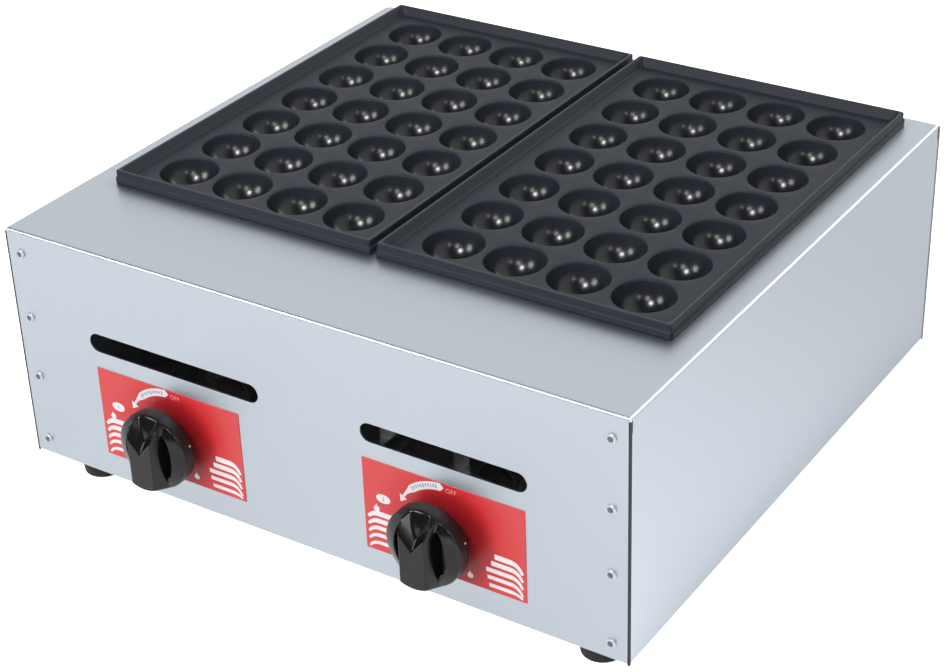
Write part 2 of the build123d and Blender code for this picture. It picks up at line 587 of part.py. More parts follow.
# ---- valves ---------------------------------------------------------------------------------
# Push the knob, and the stem slides back against its spring into the plug; turn it, and the keyed
# stem turns the tapered plug. A cross hole in the plug then meets the inlet from the manifold.
for side, x in control_x.items():
    valve_axis = Axis((x, 0, knob_z), (0, 1, 0))

    with BuildPart() as valve_stem:
        with BuildSketch(Plane.XZ.offset(-(knob_back_y - stem_in_knob))):
            with Locations((x, knob_z)):
                Circle(stem_r)
        extrude(amount=-(plug_y + stem_in_plug - knob_back_y + stem_in_knob))
        with BuildSketch(Plane.XZ.offset(-collar_y)):
            with Locations((x, knob_z)):
                Circle(collar_r)
        extrude(amount=-collar_length)
        flats = ((knob_back_y - stem_in_knob, knob_back_y),
                 (plug_y - knob_travel - stem_clearance, plug_y + stem_in_plug))
        for start, end in flats:
            with Locations((x, (start + end) / 2, knob_z + 2 * stem_r - stem_flat)):
                Box(4 * stem_r, end - start, 2 * stem_r, mode=Mode.SUBTRACT)
    save(valve_stem.part, f"{side}_valve_stem")

    with BuildPart() as valve_bonnet:
        with BuildSketch(Plane.XY.offset(knob_z)):
            with BuildLine():
                Polyline((x + stem_r + stem_clearance, bonnet_y), (x + bonnet_r, bonnet_y),
                         (x + bonnet_r, valve_y), (x + spring_cavity_r, valve_y),
                         (x + spring_cavity_r, bonnet_y + bonnet_front),
                         (x + stem_r + stem_clearance, bonnet_y + bonnet_front), close=True)
            make_face()
        revolve(axis=valve_axis)
        chamfer(valve_bonnet.edges().filter_by(GeomType.CIRCLE).sort_by(lambda e: -e.radius)[0:2], 1)
    save(valve_bonnet.part, f"{side}_valve_bonnet")

    with BuildPart() as stem_spring:
        with BuildLine() as coil:
            Helix((plug_y - spring_y - 2 * spring_wire) / spring_turns,
                  plug_y - spring_y - 2 * spring_wire, spring_coil_r,
                  center=(x, spring_y + spring_wire, knob_z), direction=(0, 1, 0))
        with BuildSketch(Plane(origin=coil.line @ 0, z_dir=coil.line % 0)):
            Circle(spring_wire / 2)
        sweep(path=coil.line, is_frenet=True)
    save(stem_spring.part, f"{side}_stem_spring")

    with BuildPart() as valve_plug:
        with BuildSketch(Plane.XY.offset(knob_z)):
            with BuildLine():
                Polyline((x, plug_y), (x + plug_front_r, plug_y),
                         (x + plug_back_r, plug_y + plug_length), (x, plug_y + plug_length),
                         close=True)
            make_face()
        revolve(axis=valve_axis)
        with BuildSketch(Plane.XZ.offset(-plug_y)):
            with Locations((x, knob_z)):
                Circle(stem_r + stem_clearance)
            with Locations((x, knob_z + 2 * stem_r - stem_flat + stem_clearance)):
                Rectangle(4 * stem_r, 2 * stem_r, mode=Mode.SUBTRACT)
        extrude(amount=-(stem_in_plug + knob_travel + 1), mode=Mode.SUBTRACT)
        with BuildSketch(Plane.XZ.offset(-(plug_y + plug_length))):
            with Locations((x, knob_z)):
                Circle(gas_way_r)
        extrude(amount=plug_length - plug_gas_way + plug_cross_r, mode=Mode.SUBTRACT)
        with BuildSketch(Plane.YZ.offset(x)):
            with Locations((plug_y + plug_gas_way, knob_z)):
                Circle(plug_cross_r)
        extrude(amount=-plug_front_r, mode=Mode.SUBTRACT)
    save(valve_plug.part, f"{side}_valve_plug")

    with BuildPart() as valve_body:
        with BuildSketch(Plane.XZ.offset(-valve_y)):
            with Locations((x, knob_z)):
                Circle(valve_r)
        extrude(amount=-valve_length)
        chamfer(valve_body.faces().sort_by(Axis.Y)[-1].edges(), 1.5)
        with BuildSketch(Plane.XY.offset(manifold_z)):
            with Locations((x, manifold_y)):
                Circle(neck_r)
        extrude(amount=knob_z - valve_r / 2 - manifold_z)
        # ear for the piezo
        with Locations((x + (valve_r - 2 + piezo_offset + piezo_r) / 2,
                        valve_y + ear_setback + ear_thickness / 2, knob_z)):
            Box(piezo_offset + piezo_r - valve_r + 2, ear_thickness, 2 * piezo_r)
        with BuildSketch(Plane.XY.offset(knob_z)):
            with BuildLine():
                Polyline((x, valve_y), (x + plug_seat_r, valve_y), (x + plug_seat_r, plug_y),
                         (x + plug_front_r + plug_clearance, plug_y),
                         (x + plug_back_r + plug_clearance, plug_y + plug_length),
                         (x + gas_way_r, plug_y + plug_length), (x + gas_way_r, valve_back_y),
                         (x, valve_back_y), close=True)
            make_face()
        revolve(axis=valve_axis, mode=Mode.SUBTRACT)
        with BuildSketch(Plane.XY.offset(manifold_z)):
            with Locations((x, manifold_y)):
                Circle(gas_way_r)
        extrude(amount=knob_z - manifold_z, mode=Mode.SUBTRACT)
        with BuildSketch(Plane.YZ.offset(x)):
            with Locations((manifold_y, manifold_z)):
                Circle(manifold_r + pipe_clearance)
        extrude(amount=2 * neck_r, both=True, mode=Mode.SUBTRACT)
    save(valve_body.part, f"{side}_valve_body")

    with BuildPart() as valve_clamp:
        with BuildSketch(Plane.YZ.offset(x)):
            with Locations((manifold_y, manifold_z)):
                Circle(neck_r)
                Circle(manifold_r + pipe_clearance, mode=Mode.SUBTRACT)
            with Locations((manifold_y, manifold_z + neck_r)):
                Rectangle(4 * neck_r, 2 * neck_r, mode=Mode.SUBTRACT)
        extrude(amount=clamp_width / 2, both=True)
    save(valve_clamp.part, f"{side}_valve_clamp")

    with BuildPart() as injector:
        with BuildSketch(Plane.XZ.offset(-valve_back_y)):
            with Locations((x, knob_z)):
                RegularPolygon(injector_hex / 2, 6, major_radius=False)
        extrude(amount=-injector_length / 2)
        with BuildSketch(Plane.XZ.offset(-(valve_back_y + injector_length / 2))):
            with Locations((x, knob_z)):
                Circle(injector_hex / 2 - 1)
        extrude(amount=-injector_length / 2, taper=15)
        with BuildSketch(Plane.XZ.offset(-valve_back_y)):
            with Locations((x, knob_z)):
                Circle(injector_spigot_r)
        extrude(amount=injector_spigot)
        with BuildSketch(Plane.XZ.offset(-(valve_back_y - injector_spigot))):
            with Locations((x, knob_z)):
                Circle(injector_bore_r)
        extrude(amount=-(injector_spigot + injector_length - 2), mode=Mode.SUBTRACT)
        with BuildSketch(Plane.XZ.offset(-injector_tip_y)):
            with Locations((x, knob_z)):
                Circle(orifice_r)
        extrude(amount=3, both=True, mode=Mode.SUBTRACT)
    save(injector.part, f"{side}_injector")

# ---- gas supply -----------------------------------------------------------------------------
# A closed pipe across the front carries both valves. One pipe feeds it from the hose spigot at the
# rear, and saddles on the base plate hold both pipes.
manifold_x0 = control_x["left"] - manifold_end
manifold_x1 = control_x["right"] + manifold_end
supply_y0 = manifold_y + manifold_r - supply_entry
supply_y1 = back_y - sheet - inlet_flange_length + inlet_socket
inlet_front_y = back_y - sheet - inlet_flange_length

with BuildPart() as gas_manifold:
    with BuildSketch(Plane.YZ.offset(manifold_x0)):
        with Locations((manifold_y, manifold_z)):
            Circle(manifold_r)
    extrude(amount=manifold_x1 - manifold_x0)
    with BuildSketch(Plane.YZ.offset(manifold_x0 + manifold_wall)):
        with Locations((manifold_y, manifold_z)):
            Circle(manifold_r - manifold_wall)
    extrude(amount=manifold_x1 - manifold_x0 - 2 * manifold_wall, mode=Mode.SUBTRACT)
    with BuildSketch(Plane.XY.offset(manifold_z)):
        with Locations(*[(x, manifold_y) for x in control_x.values()]):
            Circle(gas_way_r)
    extrude(amount=2 * manifold_r, mode=Mode.SUBTRACT)
    with BuildSketch(Plane.XZ.offset(-manifold_y)):
        with Locations((0, manifold_z)):
            Circle(supply_r + pipe_clearance)
    extrude(amount=-2 * manifold_r, mode=Mode.SUBTRACT)
save(gas_manifold.part, "gas_manifold")

with BuildPart() as supply_pipe:
    with BuildSketch(Plane.XZ.offset(-supply_y0)):
        with Locations((0, manifold_z)):
            Circle(supply_r)
            Circle(supply_r - supply_wall, mode=Mode.SUBTRACT)
    extrude(amount=-(supply_y1 - supply_y0))
save(supply_pipe.part, "supply_pipe")

with BuildPart() as gas_inlet:
    with BuildSketch(Plane.XY.offset(manifold_z)):
        with BuildLine():
            Polyline((spigot_bore_r, supply_y1), (supply_r + pipe_clearance, supply_y1),
                     (supply_r + pipe_clearance, inlet_front_y), (inlet_flange_r, inlet_front_y),
                     (inlet_flange_r, back_y - sheet), (shank_r, back_y - sheet),
                     (shank_r, back_y + nut_thickness + 1), (spigot_r, back_y + nut_thickness + 1),
                     (spigot_r, back_y + nozzle_reach - spigot_tip),
                     (spigot_r - spigot_tip, back_y + nozzle_reach),
                     (spigot_bore_r, back_y + nozzle_reach), close=True)
        make_face()
    revolve(axis=Axis((0, 0, manifold_z), (0, 1, 0)))
save(gas_inlet.part, "gas_inlet")

with BuildPart() as inlet_locknut:
    with BuildSketch(Plane.XZ.offset(-back_y)):
        with Locations((0, manifold_z)):
            RegularPolygon(nut_across_flats / 2, 6, major_radius=False)
            Circle(shank_r + pipe_clearance, mode=Mode.SUBTRACT)
    extrude(amount=-nut_thickness)
save(inlet_locknut.part, "inlet_locknut")

with BuildPart() as pipe_saddles:
    with Locations(*[(sx * saddle_offset, manifold_y, (base_top + manifold_z) / 2)
                     for sx in (-1, 1)]):
        Box(saddle_width, 2 * saddle_half, manifold_z - base_top)
    with Locations((0, (front_y + back_y) / 2, (base_top + manifold_z) / 2)):
        Box(2 * saddle_half, saddle_width, manifold_z - base_top)
    with BuildSketch(Plane.YZ):
        with Locations((manifold_y, manifold_z)):
            Circle(manifold_r + pipe_clearance)
    extrude(amount=half_width, both=True, mode=Mode.SUBTRACT)
    with BuildSketch(Plane.XZ):
        with Locations((0, manifold_z)):
            Circle(supply_r + pipe_clearance)
    extrude(amount=body_depth, both=True, mode=Mode.SUBTRACT)
save(pipe_saddles.part, "pipe_saddles")

# ---- burners --------------------------------------------------------------------------------
# For each plate a mixing tube takes gas and air from the injector up into a header, and the header
# feeds four closed tubes with flame ports, one under each column of cavities.
burner_length = burner_y1 - burner_y0
port_rows = int((burner_length - 2 * port_pitch) // port_pitch)
header_length = grid_width + 2 * (burner_tube_r + header_overhang)
bracket_width = grid_width + 2 * bracket_margin
leg_top = burner_z - burner_tube_r - leg_clearance
leg_pitch = (bracket_width - bracket_leg) / (bracket_legs - 1)
electrode_offset = cavity_pitch * (cavity_columns - 2) / 2
tail_z = burner_z + ceramic_above - ceramic_length - electrode_tail

for side, s in sides.items():
    centre_x = s * plate_x
    valve_x = control_x[side]
    tube_xs = [centre_x + (i - (cavity_columns - 1) / 2) * cavity_pitch
               for i in range(cavity_columns)]

    with BuildPart() as burner_tubes:
        with BuildSketch(Plane.XZ.offset(-burner_y0)):
            with Locations(*[(x, burner_z) for x in tube_xs]):
                Circle(burner_tube_r)
        extrude(amount=-burner_length)
        with BuildSketch(Plane.XZ.offset(-(burner_y0 + burner_wall))):
            with Locations(*[(x, burner_z) for x in tube_xs]):
                Circle(burner_tube_r - burner_wall)
        extrude(amount=-(burner_length - 2 * burner_wall), mode=Mode.SUBTRACT)
        with BuildSketch(Plane.XY.offset(burner_z)):
            with Locations((centre_x, burner_y0 + burner_length / 2)):
                with GridLocations(cavity_pitch, port_pitch, cavity_columns, port_rows):
                    Circle(port_r)
        extrude(amount=2 * burner_tube_r, mode=Mode.SUBTRACT)
        with BuildSketch(Plane.XY.offset(burner_z)):
            with Locations(*[(x, header_y) for x in tube_xs]):
                Circle(burner_tube_r / 2)
        extrude(amount=-2 * burner_tube_r, mode=Mode.SUBTRACT)
    save(burner_tubes.part, f"{side}_burner_tubes")

    with BuildPart() as burner_header:
        with BuildSketch(Plane.YZ.offset(centre_x - header_length / 2)):
            with Locations((header_y, header_z)):
                Circle(header_r)
        extrude(amount=header_length)
        with BuildSketch(Plane.YZ.offset(centre_x - header_length / 2 + burner_wall)):
            with Locations((header_y, header_z)):
                Circle(header_r - burner_wall)
        extrude(amount=header_length - 2 * burner_wall, mode=Mode.SUBTRACT)
        with BuildSketch(Plane.XZ.offset(-header_y)):
            with Locations(*[(x, burner_z) for x in tube_xs]):
                Circle(burner_tube_r + weld_gap)
        extrude(amount=2 * header_r, both=True, mode=Mode.SUBTRACT)
        with BuildSketch(Plane.XY.offset(header_z)):
            with Locations((valve_x, header_y)):
                Circle(mixer_r - mixer_wall)
        extrude(amount=-2 * header_r, mode=Mode.SUBTRACT)
    save(burner_header.part, f"{side}_burner_header")

    with BuildPart() as mixing_tube:
        with BuildLine() as mixer_path:
            FilletPolyline((valve_x, mixer_y, knob_z), (valve_x, header_y, knob_z),
                           (valve_x, header_y, header_z), radius=mixer_elbow_r)
        with BuildSketch(Plane.XZ.offset(-mixer_y)):
            with Locations((valve_x, knob_z)):
                Circle(mixer_r)
        sweep(path=mixer_path.line)
        with BuildSketch(Plane.XZ.offset(-mixer_y)):
            with Locations((valve_x, knob_z)):
                Circle(mixer_mouth_r)
        with BuildSketch(Plane.XZ.offset(-(mixer_y + mixer_mouth_length))):
            with Locations((valve_x, knob_z)):
                Circle(mixer_r)
        loft()
        with BuildSketch(Plane.XZ.offset(-mixer_y)):
            with Locations((valve_x, knob_z)):
                Circle(mixer_mouth_r - mixer_wall)
        with BuildSketch(Plane.XZ.offset(-(mixer_y + mixer_mouth_length))):
            with Locations((valve_x, knob_z)):
                Circle(mixer_r - mixer_wall)
        loft(mode=Mode.SUBTRACT)
        with BuildSketch(Plane.XZ.offset(-mixer_y)):
            with Locations((valve_x, knob_z)):
                Circle(mixer_r - mixer_wall)
        sweep(path=mixer_path.line, mode=Mode.SUBTRACT)
        with BuildSketch(Plane.YZ.offset(valve_x)):
            with Locations((header_y, header_z)):
                Circle(header_r + weld_gap)
        extrude(amount=2 * mixer_r, both=True, mode=Mode.SUBTRACT)
    save(mixing_tube.part, f"{side}_mixing_tube")

    # two notched bars carry the tubes, each on four bent legs that stand on the base plate
    with BuildPart() as burner_brackets:
        for bracket_y, toward in ((burner_y0 + front_bracket_setback, 1),
                                  (burner_y1 - rear_bracket_inset, -1)):
            with BuildSketch(Plane.XZ.offset(-bracket_y)):
                with Locations((centre_x, burner_z - bracket_bar / 2)):
                    Rectangle(bracket_width, bracket_bar)
                with Locations(*[(x, burner_z) for x in tube_xs]):
                    Circle(burner_tube_r + weld_gap, mode=Mode.SUBTRACT)
            extrude(amount=bracket_sheet / 2, both=True)
            leg_y = bracket_y + toward * (bracket_sheet + weld_gap)
            foot_y = leg_y + toward * (bracket_foot - bracket_sheet) / 2
            for i in range(bracket_legs):
                leg_x = centre_x + (i - (bracket_legs - 1) / 2) * leg_pitch
                with Locations((leg_x, leg_y, (base_top + leg_top) / 2)):
                    Box(bracket_leg, bracket_sheet, leg_top - base_top)
                with Locations((leg_x, foot_y, base_top + bracket_sheet / 2)):
                    Box(bracket_leg, bracket_foot, bracket_sheet)
    save(burner_brackets.part, f"{side}_burner_brackets")

    # ---- ignition ---------------------------------------------------------------------------
    # Turning the valve fires the piezo beside it. A lead takes the spark to an electrode that
    # stands between two burner tubes.
    piezo_x = valve_x + piezo_offset
    piezo_y = valve_y + ear_setback + ear_thickness
    lead_y = piezo_y + piezo_length + terminal_length
    spark_x = centre_x + electrode_offset

    with BuildPart() as piezo_igniter:
        with BuildSketch(Plane.XZ.offset(-piezo_y)):
            with Locations((piezo_x, knob_z)):
                Circle(piezo_r)
        extrude(amount=-piezo_length)
        chamfer(piezo_igniter.faces().sort_by(Axis.Y)[-1].edges(), 1.5)
        with BuildSketch(Plane.XZ.offset(-(piezo_y + piezo_length))):
            with Locations((piezo_x, knob_z)):
                Circle(terminal_r)
        extrude(amount=-terminal_length)
    save(piezo_igniter.part, f"{side}_piezo_igniter")

    with BuildPart() as ignition_lead:
        with BuildLine() as lead_path:
            FilletPolyline((piezo_x, lead_y, knob_z), (piezo_x, lead_y + lead_run_out, knob_z),
                           (spark_x, electrode_y, tail_z - lead_run_up),
                           (spark_x, electrode_y, tail_z), radius=lead_bend_r)
        with BuildSketch(Plane.XZ.offset(-lead_y)):
            with Locations((piezo_x, knob_z)):
                Circle(lead_r)
        sweep(path=lead_path.line)
    save(ignition_lead.part, f"{side}_ignition_lead")
    lead_length = sum(edge.length for edge in lead_path.edges())
    print(side, "ignition lead: length", round(lead_length, 1), "bend radius", lead_bend_r,
          "volume over section times length",
          round(ignition_lead.part.volume / (pi * lead_r ** 2 * lead_length), 4))

    with BuildPart() as spark_electrode:
        with BuildSketch(Plane.XY.offset(tail_z + electrode_tail)):
            with Locations((spark_x, electrode_y)):
                Circle(ceramic_r)
                Circle(electrode_r + stem_clearance, mode=Mode.SUBTRACT)
        extrude(amount=ceramic_length)
        chamfer(spark_electrode.edges().filter_by(GeomType.CIRCLE).sort_by(lambda e: -e.radius)[0:2],
                0.6)
    save(spark_electrode.part, f"{side}_electrode_ceramic")

    with BuildPart() as spark_pin:
        with BuildSketch(Plane.XY.offset(tail_z)):
            with Locations((spark_x, electrode_y)):
                Circle(electrode_r)
        extrude(amount=burner_z + electrode_above - tail_z)
    save(spark_pin.part, f"{side}_electrode_pin")

    with BuildPart() as strip:
        with BuildSketch(Plane.XY.offset(burner_z - electrode_strip_drop)):
            with Locations((spark_x, electrode_y)):
                Rectangle(cavity_pitch, electrode_strip_width)
                Circle(ceramic_r + stem_clearance, mode=Mode.SUBTRACT)
        extrude(amount=bracket_sheet)
        with BuildSketch(Plane.XZ.offset(-electrode_y)):
            with Locations(*[(x, burner_z) for x in tube_xs]):
                Circle(burner_tube_r + weld_gap)
        extrude(amount=electrode_strip_width, both=True, mode=Mode.SUBTRACT)
    save(strip.part, f"{side}_electrode_strip")
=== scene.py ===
import bmesh
import bpy
from math import asin, atan2, cos, pi, sin, sqrt
from mathutils import Matrix, Vector


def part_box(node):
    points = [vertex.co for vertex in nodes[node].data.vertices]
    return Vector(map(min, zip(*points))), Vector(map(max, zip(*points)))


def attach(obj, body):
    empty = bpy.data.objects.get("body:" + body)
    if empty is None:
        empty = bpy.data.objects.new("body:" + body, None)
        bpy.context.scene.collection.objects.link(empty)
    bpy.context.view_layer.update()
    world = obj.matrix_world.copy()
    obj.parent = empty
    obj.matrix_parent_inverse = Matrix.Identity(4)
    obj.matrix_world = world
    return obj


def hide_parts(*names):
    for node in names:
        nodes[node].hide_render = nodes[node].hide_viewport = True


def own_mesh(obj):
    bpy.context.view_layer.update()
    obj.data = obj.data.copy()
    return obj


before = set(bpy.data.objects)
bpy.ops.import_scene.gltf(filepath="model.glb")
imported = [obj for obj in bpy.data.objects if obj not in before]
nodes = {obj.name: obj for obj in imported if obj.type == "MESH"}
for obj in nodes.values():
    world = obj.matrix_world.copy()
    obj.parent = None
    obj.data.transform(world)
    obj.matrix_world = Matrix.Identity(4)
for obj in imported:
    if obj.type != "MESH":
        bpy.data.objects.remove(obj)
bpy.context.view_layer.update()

scene = bpy.context.scene
mm = 0.001

# ---- camera -----------------------------------------------------------------
# Stands to the right of the machine and above it, far enough back that the body's upright edges
# stay nearly parallel.
camera_place = Vector((0.6651, -1.01705, 0.76918))
camera_forward = Vector((-0.48026, 0.71818, -0.50356))
camera_right = Vector((0.84077, 0.54050, -0.03101))
camera_up = camera_right.cross(camera_forward)
camera_data = bpy.data.cameras.new("camera")
camera_data.lens = 82.70
camera = bpy.data.objects.new("camera", camera_data)
scene.collection.objects.link(camera)
camera_turn = Matrix((camera_right, camera_up, -camera_forward)).transposed()
camera.matrix_world = Matrix.Translation(camera_place) @ camera_turn.to_4x4()
scene.camera = camera

# ---- studio -----------------------------------------------------------------
# A white sweep all round with a dark ceiling in front, three softboxes in front, a small weak one
# at the right and a large one behind. Floor and sweep are plain white where the camera sees them.
scene.view_settings.view_transform = "Standard"


class Link:
    """One output socket of a node tree. Arithmetic on it adds Math nodes to that tree."""

    def __init__(self, graph, socket):
        self.graph = graph
        self.socket = socket

    def maths(self, operation, *values):
        return self.graph.node("ShaderNodeMath", dict(enumerate(values)), operation=operation)

    def __add__(self, other):
        return self.maths("ADD", self, other)

    def __radd__(self, other):
        return self.maths("ADD", other, self)

    def __sub__(self, other):
        return self.maths("SUBTRACT", self, other)

    def __rsub__(self, other):
        return self.maths("SUBTRACT", other, self)

    def __mul__(self, other):
        return self.maths("MULTIPLY", self, other)

    def __rmul__(self, other):
        return self.maths("MULTIPLY", other, self)

    def __abs__(self):
        return self.maths("ABSOLUTE", self)

    def at_least(self, other):
        return self.maths("MAXIMUM", self, other)

    def at_most(self, other):
        return self.maths("MINIMUM", self, other)


class Graph:
    """A node tree. Every node in it is made by node()."""

    def __init__(self, tree):
        self.tree = tree

    def feed(self, socket, value):
        """Gives an input a link, a list of links to be joined there, or a constant."""
        if isinstance(value, Link):
            self.tree.links.new(value.socket, socket)
        elif isinstance(value, list):
            for each in value:
                self.feed(socket, each)
        elif socket.type == "RGBA":
            socket.default_value = (*value[:3], 1)
        else:
            socket.default_value = value

    def node(self, kind, sockets=None, output=0, **settings):
        node = self.tree.nodes.new(kind)
        for key, value in settings.items():
            setattr(node, key, value)
        for key, value in (sockets or {}).items():
            self.feed(node.inputs[key], value)
        return Link(self, node.outputs[output]) if node.outputs else node

    def ramp(self, value, start, end, first=0.0, last=1.0, curve="LINEAR"):
        """first where value is before start, last past end. start may be the larger of the two."""
        return self.node("ShaderNodeMapRange", {"Value": value, "From Min": start, "From Max": end,
                                                "To Min": first, "To Max": last},
                         interpolation_type=curve)

    def axes(self):
        point = self.node("ShaderNodeTexCoord", output="Object")
        return [self.node("ShaderNodeSeparateXYZ", {0: point}, axis) for axis in "XYZ"]

    def rays(self):
        """1 on a ray from the camera, and 1 on a ray off a shiny surface."""
        return [self.node("ShaderNodeLightPath", output=name)
                for name in ("Is Camera Ray", "Is Glossy Ray")]


world = bpy.data.worlds.new("studio")
scene.world = world
world.use_nodes = True
sweep = Graph(world.node_tree)
camera_ray, glossy_ray = sweep.rays()
ceiling_way = Vector((-0.2, -0.75, 0.65)).normalized()
towards_ceiling = sweep.node(
    "ShaderNodeVectorMath", {0: sweep.node("ShaderNodeTexCoord", output="Generated"),
                             1: ceiling_way}, "Value", operation="DOT_PRODUCT")
ambient, ceiling_glow = 0.42, 0.10
reflected = sweep.ramp(towards_ceiling, 0.30, 0.66, 1.0, ceiling_glow)
background = world.node_tree.nodes["Background"].inputs
sweep.feed(background["Color"], (1, 1, 1))
sweep.feed(background["Strength"], sweep.ramp(camera_ray.at_least(glossy_ray), 0.0, 1.0, ambient,
                                              reflected.at_least(camera_ray)))

# each softbox: its direction from the machine, distance and radius in metres, and watts
softboxes = {"front_softbox": ((-0.02, -0.64, 0.77), 2.2, 0.22, 20),
             "left_softbox": ((-0.50, -0.72, 0.48), 2.2, 0.36, 13),
             "right_softbox": ((0.25, -0.75, 0.60), 2.2, 0.26, 6),
             "rear_softbox": ((0.45, 0.80, 0.60), 2.6, 0.70, 10),
             "small_softbox": ((0.667, -0.544, 0.511), 2.2, 0.18, 2.4)}
machine_middle = Vector((0, 0, 0.09))
for name, (direction, distance, radius, watts) in softboxes.items():
    light = bpy.data.lights.new(name, "AREA")
    light.shape = "DISK"
    light.size = 2 * radius
    light.energy = watts
    lamp = bpy.data.objects.new(name, light)
    scene.collection.objects.link(lamp)
    lamp.location = machine_middle + Vector(direction).normalized() * distance
    lamp.rotation_euler = Vector(direction).to_track_quat("Z", "Y").to_euler()

# the floor glows in reflections, most beside the machine's right side
floor_half = 6
floor_mesh = bpy.data.meshes.new("floor")
floor_mesh.from_pydata([(-floor_half, -floor_half, 0), (floor_half, -floor_half, 0),
                        (floor_half, floor_half, 0), (-floor_half, floor_half, 0)], [],
                       [(0, 1, 2, 3)])
floor = bpy.data.objects.new("floor", floor_mesh)
scene.collection.objects.link(floor)
floor_paint = bpy.data.materials.new("white_floor")
floor_paint.use_nodes = True
floor_paint.node_tree.nodes.clear()
paint = Graph(floor_paint.node_tree)
camera_ray, glossy_ray = paint.rays()
floor_x, floor_y, _ = paint.axes()
at_right = paint.ramp(floor_x, 0.20, 0.26) * paint.ramp(floor_y, 0.32, -0.16)
glow_all_round, glow_at_right = 0.28, 0.68
reflected = paint.ramp(at_right, 0.0, 1.0, glow_all_round, glow_at_right) * glossy_ray
matt_white = paint.node("ShaderNodeBsdfDiffuse", {"Color": (0.80, 0.80, 0.80)})
glowing = paint.node("ShaderNodeEmission", {"Color": (1, 1, 1),
                                            "Strength": reflected.at_least(camera_ray)})
paint.node("ShaderNodeOutputMaterial",
           {"Surface": paint.node("ShaderNodeAddShader", {0: matt_white, 1: glowing})})
floor_mesh.materials.append(floor_paint)

# ---- body panels ------------------------------------------------------------
# Deck and front are one stainless sheet; the sides and the rear are three more. The sheet is satin,
# with its grain along the long way of each panel, and every fold has a painted highlight, its base
# colour painted near white.
body_low, body_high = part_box("deck_and_front_panel")
front_y = body_low.y
body_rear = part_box("rear_panel")[1].y
plate_low, plate_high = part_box("right_takoyaki_plate")
plate_middle = (plate_low + plate_high) / 2
plate_half = Vector(((plate_high.x - plate_low.x) / 2, (plate_high.y - plate_low.y) / 2))
steel_color, fold_highlight_color = (0.525, 0.572, 0.628), (0.96, 0.975, 1.0)
fold_highlight_start, fold_highlight_full = 1.02 * mm, 0.68 * mm
grain_fine, grain_long = 1400, 9


class Finish(Graph):
    """A material with one Principled shader. Constants go straight onto the shader's sockets."""

    def __init__(self, name, **constants):
        self.material = bpy.data.materials.new(name)
        self.material.use_nodes = True
        super().__init__(self.material.node_tree)
        self.shader = self.tree.nodes["Principled BSDF"]
        for key, value in constants.items():
            self.put(key.replace("_", " "), value)
        self.point = self.node("ShaderNodeTexCoord", output="Object")

    def put(self, socket, value):
        self.feed(self.shader.inputs[socket], value)

    def noise(self, scale, detail=2.0, stretch=(1, 1, 1)):
        """Soft random values, 0 to 1; scale is per metre, and a small stretch draws them out."""
        place = self.node("ShaderNodeMapping", {"Vector": self.point, "Scale": stretch})
        return self.node("ShaderNodeTexNoise", {"Vector": place, "Scale": scale, "Detail": detail})

    def fade(self, value, start, end):
        """0 where value is before start, 1 past end, smooth between. start may be the larger."""
        return self.ramp(value, start, end, curve="SMOOTHSTEP")

    def blend(self, share, first, second):
        return self.node("ShaderNodeMix", {0: share, 6: first, 7: second}, 2, data_type="RGBA")

    def scaled(self, color, share):
        return self.node("ShaderNodeVectorMath", {0: color, "Scale": share}, operation="SCALE")

    def bump(self, height, depth):
        self.put("Normal", self.node("ShaderNodeBump", {"Height": height, "Distance": depth}))

    def cover(self, share, first, second, roughness):
        """Mixes the base colour from two colours by share, and sets the roughness."""
        self.put("Base Color", self.blend(share, first, second))
        self.put("Roughness", roughness)


def dress(finish, *names):
    for name in names:
        slots = nodes[name].data.materials
        slots.clear()
        slots.append(finish.material)


def stainless(name, stretch):
    steel = Finish(name, Metallic=1.0)
    x, y, z = steel.axes()
    from_side = body_high.x - abs(x)
    from_front = (y - front_y).at_most(body_rear - y)
    from_top = body_high.z - z
    # painted highlight: where two faces meet at a fold, the base colour is painted near white
    near = [steel.fade(distance, fold_highlight_start, fold_highlight_full)
            for distance in (from_side, from_front, from_top)]
    fold_highlight = (near[0] * near[1]).at_least(near[0] * near[2]).at_least(near[1] * near[2])
    grain = steel.noise(grain_fine, 1.0, stretch)
    cloud = steel.noise(7, 3.0)
    # painted shade beside the plates: the deck's top is painted darker within 10 mm of them
    plate_shade_reach = 10 * mm
    beside_x = (abs(x) - plate_high.x).at_least(0.0)
    beside_y = (abs(y - plate_middle.y) - plate_half.y).at_least(0.0)
    film = steel.fade(beside_x + beside_y, plate_shade_reach, 0.0)
    film = film * steel.fade(from_top, 0.4 * mm, 0.1 * mm)
    plain = steel.scaled(steel_color, 0.94 + 0.05 * cloud + 0.04 * grain - 0.10 * film)
    steel.cover(0.92 * fold_highlight, plain, fold_highlight_color, 0.30 + 0.10 * cloud + 0.08 * grain - 0.12 * fold_highlight)
    steel.bump(grain, 0.012 * mm)
    return steel


dress(stainless("stainless_across", (grain_long / grain_fine, 1, 1)),
      "deck_and_front_panel", "rear_panel")
dress(stainless("stainless_along", (1, grain_long / grain_fine, 1)),
      "left_side_panel", "right_side_panel")

# ---- corner strips, base plate and feet -------------------------------------
# A strip fills each upright corner, grey behind, and black in front as painted shade for the
# shadowed gap at the seam. The base is zinc-plated sheet, and the feet are moulded rubber, each
# held by a screw and a nut.
strip = Finish("corner_strip")
at_rear = strip.fade(strip.axes()[1], -1 * mm, 1 * mm)
# painted shade: the strip's front is black, standing in for the shadowed gap at the seam
strip.cover(at_rear, (0.012, 0.013, 0.016), (0.30, 0.32, 0.35), 0.55)
strip.bump(strip.noise(900), 0.02 * mm)
dress(strip, "corner_seam_strips")


